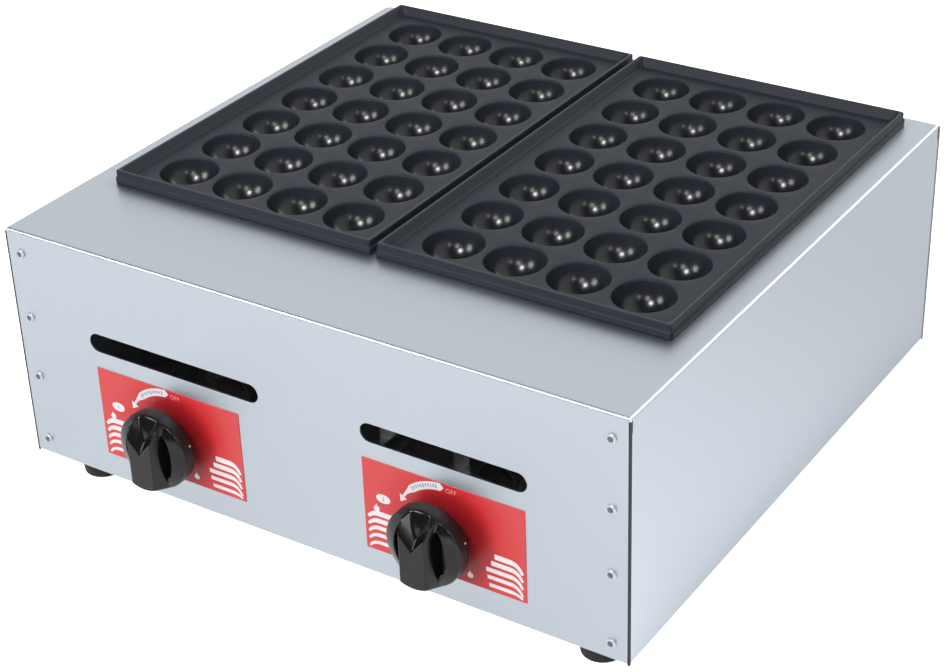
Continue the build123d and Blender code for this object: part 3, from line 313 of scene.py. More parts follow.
def zinc(name, color, roughness):
    """Plated or blasted metal: a fine crystal pattern, with dull clouds over it."""
    plated = Finish(name, Metallic=1.0)
    crystals = plated.node("ShaderNodeTexVoronoi", {"Vector": plated.point, "Scale": 260.0},
                           feature="F1")
    cloud = plated.noise(40, 4.0)
    plated.put("Base Color", plated.scaled(color, 0.80 + 0.18 * crystals + 0.16 * cloud))
    plated.put("Roughness", roughness + 0.18 * cloud)
    plated.bump(crystals + cloud, 0.01 * mm)
    return plated


def pairs(*names):
    """Both sides' nodes of these names."""
    return [f"{side}_{name}" for name in names for side in ("left", "right")]


dress(zinc("zinc_plate", (0.56, 0.58, 0.60), 0.34), "base_plate", "foot_nuts", "pipe_saddles",
      *pairs("burner_brackets", "electrode_strip"))

foot_rubber = Finish("foot_rubber", Specular_IOR_Level=0.35)
foot_dust = foot_rubber.noise(120, 4.0)
foot_low = foot_rubber.fade(foot_rubber.axes()[2], 3 * mm, 0.0)
foot_rubber.cover(0.5 * foot_dust * foot_low, (0.017, 0.017, 0.018), (0.09, 0.085, 0.08),
                  0.55 + 0.25 * foot_dust)
foot_rubber.bump(foot_rubber.noise(1600), 0.03 * mm)
dress(foot_rubber, "front_left_foot", "front_right_foot", "rear_left_foot", "rear_right_foot")

# ---- takoyaki plates --------------------------------------------------------
# Each is one aluminium casting with a dark non-stick coat: four by seven half-round cavities in a
# shallow tray. It lies loose on the deck, and the cavities hang through the deck's opening.
plate_columns, plate_rows = 4, 7
pitch = 42.0 * mm
cavity_r = 18.5 * mm
cavity_outer_r = 20.6 * mm
mouth_round = 1.2 * mm
land_z = plate_high.z - 6.0 * mm
underside_z = body_high.z
cell_side_points = 12
rounding_steps, bowl_rings, back_rings = 4, 14, 10
cell_half = Vector((pitch / 2, pitch / 2))
grid_half = Vector((plate_columns * pitch / 2, plate_rows * pitch / 2))


def edge_steps(across, along):
    """Even steps round a rectangle from its +X -Y corner, as (side, -1 to 1 along that side)."""
    return [(side, 2 * step / count - 1) for side, count in enumerate((along, across) * 2)
            for step in range(count)]


def edge_point(side, share, half):
    return [(half.x, share * half.y), (-share * half.x, half.y), (-half.x, -share * half.y),
            (share * half.x, -half.y)][side]


def join_rings(mesh, rings, turned=False):
    """Quads between rings of vertices that have the same number of points."""
    faces = []
    for first, second in zip(rings, rings[1:]):
        count = len(first)
        for i in range(count):
            corners = [first[i], first[(i + 1) % count], second[(i + 1) % count], second[i]]
            faces.append(mesh.faces.new(corners[::-1] if turned else corners))
    return faces


def cap(mesh, ring, middle, turned=False):
    """Triangles from a ring to one vertex in its middle."""
    for first, second in zip(ring, ring[1:] + ring[:1]):
        mesh.faces.new((middle, second, first) if turned else (middle, first, second))


def as_mesh(shape, name):
    mesh = bpy.data.meshes.new(name)
    shape.to_mesh(mesh)
    shape.free()
    return mesh


def cavity_cell(name, radius, round_r, level, rings):
    """One square of the plate's top or underside with its half-round bowl, about the Z axis."""
    bowl = bmesh.new()
    profile = []
    if round_r:
        mouth_r = sqrt((radius + round_r) ** 2 - round_r ** 2)
        start = asin(round_r / (radius + round_r))
        for step in range(rounding_steps + 1):
            turn = pi / 2 - (pi / 2 - start) * step / rounding_steps
            profile.append((mouth_r - round_r * cos(turn), level - round_r + round_r * sin(turn)))
    else:
        start = asin((land_z - level) / radius)
        profile.append((radius * cos(start), level))
    for step in range(1, rings):
        turn = start + (pi / 2 - start) * step / rings
        profile.append((radius * cos(turn), land_z - radius * sin(turn)))
    loops = [[bowl.verts.new((*edge_point(side, share, cell_half), level))
              for side, share in edge_steps(cell_side_points, cell_side_points)]]
    count = len(loops[0])
    angles = [-pi / 4 + 2 * pi * i / count for i in range(count)]
    loops += [[bowl.verts.new((r * cos(a), r * sin(a), z)) for a in angles] for r, z in profile]
    join_rings(bowl, loops)
    cap(bowl, loops[-1], bowl.verts.new((0, 0, land_z - radius)))
    if not round_r:
        bmesh.ops.reverse_faces(bowl, faces=bowl.faces)
    return bpy.data.objects.new(name, as_mesh(bowl, name))


def rim_loop(mesh, half, level, corner=None):
    """The joined cells' outline, or a rounded rectangle with as many points, denser at corners."""
    loop = []
    for side, share in edge_steps(plate_columns * cell_side_points, plate_rows * cell_side_points):
        if corner:
            share = 0.25 * share + 0.75 * sin(share * pi / 2)
        x, y = edge_point(side, share, half)
        if corner:
            centre = half - Vector((corner, corner))
            beyond = Vector((abs(x) - centre.x, abs(y) - centre.y))
            if beyond.x > 0 and beyond.y > 0:
                away = atan2(beyond.y, beyond.x)
                x = (centre.x + corner * cos(away)) * (1 if x > 0 else -1)
                y = (centre.y + corner * sin(away)) * (1 if y > 0 else -1)
        loop.append(mesh.verts.new((x, y, level)))
    return loop


# the rim: how far each line of its section lies inside the plate's outline, its height above the
# underside and its corner radius, from the tray's floor over the top to the underside
rim_section = ((9.00, 3.00, 2.6), (8.00, 3.00, 2.6), (6.45, 3.00, 2.6), (6.10, 3.04, 2.9),
               (5.75, 3.25, 3.0), (5.45, 3.75, 3.0), (3.00, 8.10, 3.0), (2.75, 8.55, 2.9),
               (2.45, 8.85, 2.8), (2.10, 8.98, 2.2), (1.70, 9.00, 1.6), (1.35, 8.93, 1.1),
               (1.05, 8.72, 0.9), (0.87, 8.45, 0.95), (0.80, 8.10, 1.0), (0.80, 4.90, 1.0),
               (0.74, 4.45, 1.05), (0.45, 4.12, 1.3), (0.14, 3.90, 1.7), (0.00, 3.50, 1.8),
               (0.00, 0.60, 1.8), (0.18, 0.16, 1.8), (0.60, 0.00, 1.7), (2.00, 0.00, 1.7))
rim_shape = bmesh.new()
rim_loops = [rim_loop(rim_shape, grid_half, land_z)]
for inset, height, corner in rim_section:
    rim_loops.append(rim_loop(rim_shape, plate_half - Vector((inset, inset)) * mm,
                              underside_z + height * mm, corner * mm))
rim_loops.append(rim_loop(rim_shape, grid_half, underside_z))
join_rings(rim_shape, rim_loops, turned=True)
rim = bpy.data.objects.new("plate_rim", as_mesh(rim_shape, "plate_rim"))

coat = Finish("nonstick_coat", Specular_IOR_Level=0.20)
coat_x, _, coat_z = coat.axes()
coat_cloud = coat.noise(30, 4.0)
rim_worn = coat.fade(coat_z, plate_high.z - 0.35 * mm, plate_high.z)
rim_worn = rim_worn * (0.3 + 0.5 * coat.noise(40, 5.0))
deep = coat.fade(coat_z, land_z - 1.5 * mm, land_z - 12 * mm)
coat_color = coat.blend(0.35 + 0.5 * coat_cloud, (0.013, 0.016, 0.023), (0.023, 0.028, 0.038))
coat_color = coat.blend(0.85 * deep, coat_color, (0.004, 0.0045, 0.006))
# painted shade: the plates' outermost side walls, at the machine's left and right, are painted near
# black
wall_shade_start, wall_shade_full = 194.8 * mm, 195.3 * mm
outer_wall_shade = coat.fade(coat_x * coat_x, wall_shade_start ** 2, wall_shade_full ** 2)
coat_color = coat.blend(0.85 * outer_wall_shade, coat_color, (0.002, 0.0025, 0.004))
coat.cover(0.7 * rim_worn, coat_color, (0.12, 0.125, 0.14),
           0.40 + 0.14 * coat_cloud - 0.24 * deep)
coat.put("Metallic", 0.3 * rim_worn)
coat.put("Coat Weight", 0.6 * deep)
coat.put("Coat Roughness", 0.2)
coat.bump(coat.noise(1500) + 2.0 * coat_cloud, 0.02 * mm)


def geometry_tree(name, inputs):
    """A Geometry Nodes tree with these inputs: its graph, and a link from each input."""
    tree = bpy.data.node_groups.new(name, "GeometryNodeTree")
    tree.interface.new_socket("Geometry", in_out="OUTPUT", socket_type="NodeSocketGeometry")
    for label, kind in inputs.items():
        tree.interface.new_socket(label, in_out="INPUT", socket_type="NodeSocket" + kind)
    graph = Graph(tree)
    return graph, {label: graph.node("NodeGroupInput", output=label) for label in inputs}


def plain_mesh(source, tree, values, name):
    """Runs a Geometry Nodes tree on source and returns its result as a plain mesh object."""
    modifier = source.modifiers.new(name, "NODES")
    modifier.node_group = tree
    for socket in tree.interface.items_tree:
        if socket.in_out == "INPUT" and socket.name in values:
            modifier[socket.identifier] = values[socket.name]
    scene.collection.objects.link(source)
    evaluated = source.evaluated_get(bpy.context.evaluated_depsgraph_get())
    mesh = bpy.data.meshes.new_from_object(evaluated)
    # Set Material adds its slot after an empty one
    if len(mesh.materials) and mesh.materials[0] is None:
        mesh.materials.pop(index=0)
    source.modifiers.remove(modifier)
    scene.collection.objects.unlink(source)
    return bpy.data.objects.new(name, mesh)


# the casting: cells on a grid, joined to the rim and welded
casting_graph, given = geometry_tree("cavity_plate", {
    "Rim": "Geometry", "Cavity": "Object", "Cavity back": "Object", "Columns": "Int",
    "Rows": "Int", "Pitch": "Float", "Coat": "Material"})
grid = casting_graph.node("GeometryNodeMeshGrid", {
    "Size X": (given["Columns"] - 1) * given["Pitch"], "Vertices X": given["Columns"],
    "Size Y": (given["Rows"] - 1) * given["Pitch"], "Vertices Y": given["Rows"]}, "Mesh")
casting_parts = [given["Rim"]]
for part in ("Cavity", "Cavity back"):
    cell = casting_graph.node("GeometryNodeObjectInfo", {"Object": given[part]}, "Geometry")
    casting_parts.append(casting_graph.node("GeometryNodeInstanceOnPoints",
                                            {"Points": grid, "Instance": cell}))
joined = casting_graph.node("GeometryNodeJoinGeometry", {0: casting_parts})
real = casting_graph.node("GeometryNodeRealizeInstances", {0: joined})
welded = casting_graph.node("GeometryNodeMergeByDistance",
                            {"Geometry": real, "Distance": 0.01 * mm})
smooth = casting_graph.node("GeometryNodeSetShadeSmooth", {"Geometry": welded})
coated = casting_graph.node("GeometryNodeSetMaterial",
                            {"Geometry": smooth, "Material": given["Coat"]})
casting_graph.node("NodeGroupOutput", {0: coated})
casting = plain_mesh(rim, casting_graph.tree, {
    "Cavity": cavity_cell("cavity_top", cavity_r, mouth_round, land_z, bowl_rings),
    "Cavity back": cavity_cell("cavity_back", cavity_outer_r, 0, underside_z, back_rings),
    "Columns": plate_columns, "Rows": plate_rows, "Pitch": pitch, "Coat": coat.material}, "casting")
for side, sign in (("left", -1), ("right", 1)):
    plate = bpy.data.objects.new(f"{side}_cavity_plate", casting.data.copy())
    plate.data.transform(Matrix.Translation((sign * plate_middle.x, plate_middle.y, 0)))
    scene.collection.objects.link(plate)
    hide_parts(f"{side}_takoyaki_plate")
    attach(plate, f"{side}_plate")

# ---- screws -----------------------------------------------------------------
# Pan heads with a cross recess hold the panels' flanges, the base plate and the feet. The heads are
# nickel plated, and the middle of each, with its recess, is painted dull grey as painted shade.
# Sizes in mm.
cross_arm, cross_length = 0.45, 1.7
model_head_r = 2.9
recess_depth, recess_taper = 0.6, 0.62
tip_length, tip_taper = 0.4, 0.7
screw_angles = [corner + quarter * pi / 2 for quarter in range(4)
                for corner in (0.0, atan2(cross_arm, cross_length), atan2(cross_arm, 1.0), pi / 4,
                               atan2(1.0, cross_arm), atan2(cross_length, cross_arm))]
# the section of a head of radius model_head_r: a radius, and its share of the head's height
crown = ((1.95, 0.985), (2.35, 0.93), (2.62, 0.80), (2.80, 0.58), (2.88, 0.34), (2.90, 0.0))


def cross_reach(angle):
    """Distance from the middle to the edge of the cross, on a head of radius model_head_r."""
    along, over = abs(cos(angle)) + 1e-9, abs(sin(angle)) + 1e-9
    return max(min(cross_arm / along, cross_length / over),
               min(cross_length / along, cross_arm / over))


def screw_model(name, head_r, head_height, shank_r, shank_length):
    """One screw about the Z axis, its head above Z = 0. The middle with its recess is marked."""
    model = bmesh.new()
    marked = model.faces.layers.bool.new("recess")
    scale = head_r / model_head_r
    recess_z = head_height - recess_depth * scale
    count = len(screw_angles)
    sections = [([share * cross_reach(a) * scale for a in screw_angles], z)
                for share, z in ((recess_taper, recess_z), (1.0, head_height))]
    sections += [([r * scale] * count, share * head_height) for r, share in crown]
    sections += [([r] * count, z) for r, z in (
        (shank_r, 0.0), (shank_r, tip_length - shank_length),
        (tip_taper * shank_r, -shank_length))]
    rings = [[model.verts.new((r * mm * cos(a), r * mm * sin(a), z * mm))
              for r, a in zip(radii, screw_angles)] for radii, z in sections]
    join_rings(model, rings, turned=True)
    bottom = model.verts.new((0, 0, recess_z * mm))
    cap(model, rings[0], bottom)
    cap(model, rings[-1], model.verts.new((0, 0, -shank_length * mm)), turned=True)
    middle = {bottom, *rings[0], *rings[1]}
    for face in model.faces:
        face[marked] = any(vertex in middle for vertex in face.verts)
        face.smooth = not face[marked]
    bmesh.ops.recalc_face_normals(model, faces=model.faces)
    return bpy.data.objects.new(name, as_mesh(model, name))


# one screw on every point, tilted, and turned about itself by a random angle
screw_graph, given = geometry_tree("screws", {
    "Points": "Geometry", "Screw": "Object", "Tilt": "Vector", "Seed": "Int", "Head": "Material",
    "Recess": "Material"})
screw = screw_graph.node("GeometryNodeObjectInfo", {"Object": given["Screw"]}, "Geometry")
turn = screw_graph.node("FunctionNodeRandomValue", {"Max": 2 * pi, "Seed": given["Seed"]}, 1)
copies = screw_graph.node("GeometryNodeInstanceOnPoints", {
    "Points": given["Points"], "Instance": screw, "Rotation": given["Tilt"]})
driven = screw_graph.node("GeometryNodeRotateInstances", {
    "Instances": copies, "Rotation": screw_graph.node("ShaderNodeCombineXYZ", {"Z": turn}),
    "Local Space": True})
real = screw_graph.node("GeometryNodeRealizeInstances", {0: driven})
plated = screw_graph.node("GeometryNodeSetMaterial",
                          {"Geometry": real, "Material": given["Head"]})
recessed = screw_graph.node("GeometryNodeInputNamedAttribute", {"Name": "recess"}, "Attribute",
                            data_type="BOOLEAN")
dull = screw_graph.node("GeometryNodeSetMaterial", {
    "Geometry": plated, "Selection": recessed, "Material": given["Recess"]})
screw_graph.node("NodeGroupOutput", {0: dull})

screw_plating = Finish("screw_plating", Metallic=0.8)
plating_cloud = screw_plating.noise(700, 3.0)
screw_plating.cover(plating_cloud, (0.56, 0.60, 0.65), (0.72, 0.76, 0.80),
                    0.36 + 0.16 * plating_cloud)
screw_plating.bump(screw_plating.noise(2500), 0.01 * mm)
# painted shade: the recess and the middle of each head are painted dull grey
recess_dirt = Finish("recess_dirt", Specular_IOR_Level=0.2)
recess_dirt.cover(recess_dirt.noise(1500), (0.15, 0.153, 0.157), (0.24, 0.245, 0.25), 0.6)

panel_screw = screw_model("panel_screw", head_r=2.9, head_height=1.7, shank_r=1.5,
                          shank_length=6.0)
foot_screw = screw_model("foot_screw", head_r=4.2, head_height=2.6, shank_r=2.0,
                         shank_length=13.2)
column_x, column_heights = 204, (30, 76, 118, 162)
base_screw_x, base_screw_y, base_screw_z = 207, 101.5, 16.8
foot_x, foot_y, foot_screw_z = 184, 178, 8
column_places = [(sx * column_x * mm, z * mm) for sx in (-1, 1) for z in column_heights]
under_places = [(sx, sy) for sx in (-1, 1) for sy in (-1, 1)]
front_tilt, rear_tilt, under_tilt = (pi / 2, 0, 0), (-pi / 2, 0, 0), (pi, 0, 0)
screw_groups = {
    "front_panel_screws": (panel_screw, front_tilt, [(x, front_y, z) for x, z in column_places]),
    "rear_panel_screws": (panel_screw, rear_tilt, [(x, body_rear, z) for x, z in column_places]),
    "base_plate_screws": (panel_screw, under_tilt, [
        (sx * base_screw_x * mm, sy * base_screw_y * mm, base_screw_z * mm)
        for sx, sy in under_places]),
    "foot_screws": (foot_screw, under_tilt, [
        (sx * foot_x * mm, sy * foot_y * mm, foot_screw_z * mm) for sx, sy in under_places])}
first_seed = 3
for seed, (node_name, (model, tilt, points)) in enumerate(screw_groups.items(), first_seed):
    point_mesh = bpy.data.meshes.new(node_name + "_points")
    point_mesh.from_pydata(points, [], [])
    group = plain_mesh(bpy.data.objects.new(node_name + "_points", point_mesh), screw_graph.tree,
                       {"Screw": model, "Tilt": tilt, "Seed": seed,
                        "Head": screw_plating.material, "Recess": recess_dirt.material},
                       node_name + "_fine")
    scene.collection.objects.link(group)
    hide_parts(node_name)
    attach(group, "root")

# ---- control labels ---------------------------------------------------------
# A printed polyester film round each knob: red, with white stripes at both sides, a curved white
# scale with an arrow, OFF at the top, its own number in a white pill and two flames. Sizes in mm.
label_left, label_right, label_bottom, label_top = -54.0, 54.0, -28.3, 33.7
control_x = {"left": -99.5, "right": 94.5}
label_x = {"left": -99.5, "right": 96.5}
knob_z = 64.0
film_front, ink_back, ink_front = 0.4, 0.37, 0.43
film_bevel, film_bevel_back = 0.15, 0.28
pill_front, tick_front, text_back = 0.42, 0.46, 0.44
stem_hole_r = 7


def label_point(side, x, z, height):
    """A place on a label: x and z from its printed scale's middle, height from the panel."""
    return ((label_x[side] + x) * mm, front_y - height * mm, (knob_z + z) * mm)


def label_film(side):
    """The film with its hole for the valve's stem, and a small bevel round its front."""
    sheet = bmesh.new()
    side_points = 12
    hole_x = control_x[side] - label_x[side]
    loops = []
    for height in (0.0, film_front):
        loops.append([])
        for i in range(4 * side_points):
            turn = -pi / 4 + pi / 2 * i / side_points
            loops[-1].append(sheet.verts.new(label_point(
                side, hole_x + stem_hole_r * cos(turn), stem_hole_r * sin(turn), height)))
    middle = Vector((label_left + label_right, label_bottom + label_top)) / 2
    half = Vector((label_right - label_left, label_top - label_bottom)) / 2
    for inset, height in ((film_bevel, film_front), (0.0, film_bevel_back), (0.0, 0.0)):
        loops.append([])
        for place in edge_steps(side_points, side_points):
            x, z = edge_point(*place, half - Vector((inset, inset)))
            loops[-1].append(sheet.verts.new(label_point(side, middle.x + x, middle.y + z,
                                                         height)))
    join_rings(sheet, loops + loops[:1])
    bmesh.ops.recalc_face_normals(sheet, faces=sheet.faces)
    return as_mesh(sheet, f"{side}_label_film")


def band(centre_line):
    """The outline of a stripe along (x, z, half width) points, with no gaps between them."""
    upper, lower = [], []
    for i, (x, z, half) in enumerate(centre_line):
        ahead = centre_line[min(i + 1, len(centre_line) - 1)]
        behind = centre_line[max(i - 1, 0)]
        dx, dz = ahead[0] - behind[0], ahead[1] - behind[1]
        size = sqrt(dx * dx + dz * dz)
        upper.append((x - dz / size * half, z + dx / size * half))
        lower.append((x + dz / size * half, z - dx / size * half))
    outline = lower + upper[::-1]
    area = sum(a[0] * b[1] - b[0] * a[1] for a, b in zip(outline, outline[1:] + outline[:1]))
    return outline if area > 0 else outline[::-1]


pill_x, pill_z = -40.4, 9.2


def pill(rx, rz, first, end):
    """Points of an oval about the pill's middle every 15 degrees, from first up to end."""
    return [(pill_x + rx * cos(pi * i / 12), pill_z + rz * sin(pi * i / 12))
            for i in range(first, end)]


def flame(x, z, size):
    """A drop with a bent tip, anticlockwise."""
    shape = ((0.00, -0.50), (0.30, -0.42), (0.44, -0.16), (0.40, 0.10), (0.26, 0.28),
             (0.20, 0.16), (0.10, 0.36), (0.02, 0.62), (-0.12, 0.34), (-0.32, 0.12),
             (-0.44, -0.14), (-0.30, -0.42))
    return [(x + size * u, z + size * w) for u, w in shape]


def lettering(text, height, middle_x, middle_z):
    """Text as the mesh of thin solid letters, with the text's middle at the given place."""
    capital_share, half_thickness = 0.72, 0.02
    curve = bpy.data.curves.new("lettering", "FONT")
    curve.body = text
    curve.size = height / capital_share
    curve.extrude = half_thickness
    letters = bpy.data.objects.new("lettering", curve)
    scene.collection.objects.link(letters)
    mesh = bpy.data.meshes.new_from_object(
        letters.evaluated_get(bpy.context.evaluated_depsgraph_get()))
    scene.collection.objects.unlink(letters)
    xs = [v.co.x for v in mesh.vertices]
    ys = [v.co.y for v in mesh.vertices]
    shift = Vector((middle_x - (min(xs) + max(xs)) / 2, middle_z - (min(ys) + max(ys)) / 2, 0))
    mesh.transform(Matrix.Translation(shift))
    return mesh


def on_arc(radius, degrees, *more):
    """A place on an arc round the printed scale's middle, with any further values after it."""
    angle = degrees * pi / 180
    return (radius * cos(angle), radius * sin(angle), *more)


def label_marks(side):
    """Everything that is printed on one label, each mark a thin solid that rises from the film."""
    white, teal, pink = range(3)
    marks = bmesh.new()

    def mark(outline, front=ink_front, ink=white):
        """Adds a mark, its outline anticlockwise as seen from the front."""
        upper, lower = [[marks.verts.new(label_point(side, x, z, height)) for x, z in outline]
                        for height in (front, ink_back)]
        faces = [marks.faces.new(upper), marks.faces.new(lower[::-1])]
        for face in faces + join_rings(marks, [upper, lower], turned=True):
            face.material_index = ink

    # the curved scale: a band that narrows to a tail, and its arrow head
    scale_r = 30.8
    scale_line = [(92 - 4.5 * (1 - sin(i / 6 * pi / 2)), 2.5 * sin(i / 6 * pi / 2) + 0.05)
                  for i in range(7)]
    scale_line += [(92 + step * 3, 2.5) for step in range(1, 14)]
    scale_line += [(131 + step * 2.4, 2.5 - 1.7 * sin(step / 6 * pi / 2)) for step in range(1, 7)]
    scale_line.append((149, 0.75))
    mark(band([on_arc(scale_r, degrees, half) for degrees, half in scale_line]))
    mark([on_arc(scale_r, 157), on_arc(28.0, 148.5), on_arc(33.6, 148.5)])
    # the pill in its ring, which is two halves so that each is one simple outline; the flames
    for first in (0, 12):
        mark(pill(4.9, 3.0, first, first + 13) + pill(3.9, 2.0, first, first + 13)[::-1])
    mark(pill(3.85, 1.95, 0, 24), pill_front)
    mark(flame(-45.5, 1.6, 4.8))
    mark(flame(16.9, -22.0, 4.6))
    # stripes at both sides, their outer ends bent down: level, half width, where the right starts
    straight_end, bend_r, bend_turn = 44.0, 8.2, 1.15
    for level, half, right_start in ((-3.8, 1.75, 33.5), (-8.8, 1.6, 31.2), (-13.8, 1.45, 27.8),
                                     (-18.8, 1.3, 28.5), (-24.1, 1.2, 29.5)):
        for sign, inner, rise, bend in ((-1, 24.0, 1.6, 4.0), (1, right_start, 0.0, 6.0)):
            height = level + rise
            drop = min(bend, height - label_bottom - 1.6)
            line = [(sign * inner, height, half), (sign * straight_end, height, half)]
            for step in range(1, 8):
                turn = step / 7 * bend_turn
                line.append((sign * (straight_end + bend_r * sin(turn)),
                             height - drop * (1 - cos(turn)) / 0.6, half * (1 - 0.45 * step / 7)))
            mark(band(line))
    # short and long ticks inside the scale
    first_tick, tick_step, tick_half = 97, 3.3, 0.32
    for tick in range(11):
        degrees = first_tick + tick_step * tick
        radii = (29.5, 32.1) if tick % 5 == 0 else (30.1, 31.9)
        mark(band([on_arc(r, degrees, tick_half) for r in radii]), tick_front, teal)
    onto_label = Matrix(((mm, 0, 0, label_x[side] * mm), (0, 0, -mm, front_y - text_back * mm),
                         (0, mm, 0, knob_z * mm), (0, 0, 0, 1)))
    number = "1" if side == "left" else "2"
    for text, height, x, z, ink in (("OFF", 3.0, 6.2, 29.9, pink),
                                    (number, 2.7, pill_x, pill_z, teal)):
        letters = lettering(text, height, x, z)
        letters.transform(onto_label)
        first = len(marks.faces)
        marks.from_mesh(letters)
        marks.faces.ensure_lookup_table()
        for face in marks.faces[first:]:
            face.material_index = ink
    return as_mesh(marks, f"{side}_label_marks")


def label_print(name, color, roughness):
    ink = Finish(name, Specular_IOR_Level=0.5)
    wear = ink.noise(260, 4.0)
    ink.cover(0.5 * wear, color, tuple(0.82 * part for part in color), roughness + 0.12 * wear)
    return ink


inks = [label_print("white_ink", (0.80, 0.76, 0.79), 0.36),
        label_print("teal_ink", (0.035, 0.16, 0.25), 0.40),
        label_print("pink_ink", (0.80, 0.30, 0.31), 0.38)]
for side, middle_x in label_x.items():
    # painted shade: the red is painted deeper round the knob, and darkest in the shade of its skirt
    film = Finish(f"{side}_red_film", Specular_IOR_Level=0.5)
    film_x, _, film_z = film.axes()
    away_x = film_x - (middle_x + 4.0) * mm
    away_z = film_z - knob_z * mm
    away = away_x * away_x + away_z * away_z
    knob_shade = film.fade(away, (52 * mm) ** 2, (20 * mm) ** 2)
    skirt_shade = film.fade(away, (34 * mm) ** 2, (20 * mm) ** 2)
    grain = film.noise(900)
    film_color = film.blend(knob_shade, (0.595, 0.046, 0.048), (0.56, 0.008, 0.012))
    film_color = film.blend(0.75 * skirt_shade, film_color, (0.20, 0.002, 0.005))
    film.cover(0.10 * film.noise(18), film_color, (0.62, 0.10, 0.10), 0.34 + 0.10 * grain)
    film.bump(grain, 0.006 * mm)
    film_piece = bpy.data.objects.new(f"{side}_label_film", label_film(side))
    film_piece.data.materials.append(film.material)
    scene.collection.objects.link(film_piece)
    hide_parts(f"{side}_control_label")
    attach(film_piece, "root")
    marks_piece = bpy.data.objects.new(f"{side}_label_marks", label_marks(side))
    for ink in inks:
        marks_piece.data.materials.append(ink.material)
    scene.collection.objects.link(marks_piece)
    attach(marks_piece, "root")

# ---- knobs ------------------------------------------------------------------
# Each is one moulding in glossy black phenolic: a domed skirt with a grip across it, a finger
# pocket at each side of the grip, and a hub behind that is keyed on the valve's stem. Sizes in mm.
knob_r = 25.0
skirt_back = 9.0
dome_front, dome_r = 25.0, 48.14
grip_front, grip_half, grip_wall_slope = 30.0, 8.75, 4.7
grip_end_r, grip_end_slope = 20.5, 2.857
pocket_back, pocket_curve_x, pocket_curve_r = 16.0, 10.45, 29.2
facet_start, facet_spread, facet_slope, facet_curve = 3.0, 1.13, 0.72, 0.014
edge_round = 1.0
keyway_r, keyway_end = 3.05, 23.0
# the skirt's wall, its hollow back, the hub and the keyway: radius and height above the panel
back_section = (
    (knob_r, 15.5), (knob_r, 12.5), (knob_r, 10.0), (24.9, 9.4), (24.6, 9.1), (24.2, skirt_back),
    (23.0, skirt_back), (22.6, 9.4), (22.6, 12.2), (22.3, 12.8), (21.6, 13.0), (8.0, 13.0),
    (7.2, 12.8), (7.0, 12.3), (7.0, 9.5), (6.8, 9.1), (6.4, skirt_back), (3.5, skirt_back),
    (keyway_r, 9.4), (keyway_r, keyway_end))


def smooth_min(a, b, soft):
    near = max(soft - abs(a - b), 0.0) / soft
    return min(a, b) - near * near * soft / 4


def smooth_max(a, b, soft):
    return -smooth_min(-a, -b, soft)


def knob_height(u, w):
    """Height of the knob's front above the panel, u across and w up from its axis."""
    r = sqrt(u * u + w * w)
    side_u = abs(u)
    dome = dome_front - (dome_r - sqrt(dome_r ** 2 - r * r))
    inside_pocket = min(side_u - grip_half,
                        pocket_curve_r - sqrt((side_u + pocket_curve_x) ** 2 + w * w))
    pocket = smooth_max(grip_front - grip_wall_slope * inside_pocket, pocket_back, 3.0)
    base = smooth_min(dome, pocket, 1.2)
    grip = smooth_min(grip_front, grip_front - (r - grip_end_r) * grip_end_slope, 1.8)
    grip = smooth_min(grip, grip_front - (side_u - grip_half) * grip_wall_slope, 2.2)
    facet = max(0.0, w - facet_start - facet_spread * side_u)
    grip = smooth_min(grip, grip_front - facet_slope * facet - facet_curve * facet * facet, 1.6)
    height = smooth_max(base, grip, 0.8)
    if r > knob_r - edge_round:
        height -= edge_round - sqrt(max(0.0, edge_round ** 2 - (r - knob_r + edge_round) ** 2))
    return height


def knob_model():
    """A grid of points over the front, denser at its edge, and rings down the skirt and the hub."""
    model = bmesh.new()
    columns, rows = 60, 88
    spread_u = [0.62 * t + 0.38 * sin(t * pi / 2) for t in
                (i / columns for i in range(-columns, columns + 1))]
    spread_w = [0.6 * t + 0.4 * sin(t * pi / 2) for t in
                (2 * j / rows - 1 for j in range(rows + 1))]
    grid = []
    for share in spread_u[1:-1]:
        u = knob_r * share
        reach = sqrt(knob_r ** 2 - u * u)
        grid.append([model.verts.new((u, -knob_height(u, v * reach), v * reach))
                     for v in spread_w])
    ends = [model.verts.new((sign * knob_r, -knob_height(knob_r, 0.0), 0)) for sign in (-1, 1)]
    for j in range(rows):
        for first, second in zip(grid, grid[1:]):
            model.faces.new((first[j], second[j], second[j + 1], first[j + 1]))
        model.faces.new((ends[0], grid[0][j], grid[0][j + 1]))
        model.faces.new((grid[-1][j], ends[1], grid[-1][j + 1]))
    outline = ([ends[1]] + [column[-1] for column in reversed(grid)] + [ends[0]]
               + [column[0] for column in grid])
    directions = [(v.co.x / knob_r, v.co.z / knob_r) for v in outline]
    loops = [outline]
    for r, height in back_section:
        loops.append([model.verts.new((x * r, -height, z * r)) for x, z in directions])
    join_rings(model, loops)
    cap(model, loops[-1], model.verts.new((0, -keyway_end, 0)))
    for face in model.faces:
        face.smooth = True
    bmesh.ops.recalc_face_normals(model, faces=model.faces)
    mesh = as_mesh(model, "knob_moulding")
    mesh.transform(Matrix.Scale(mm, 4))
    return mesh


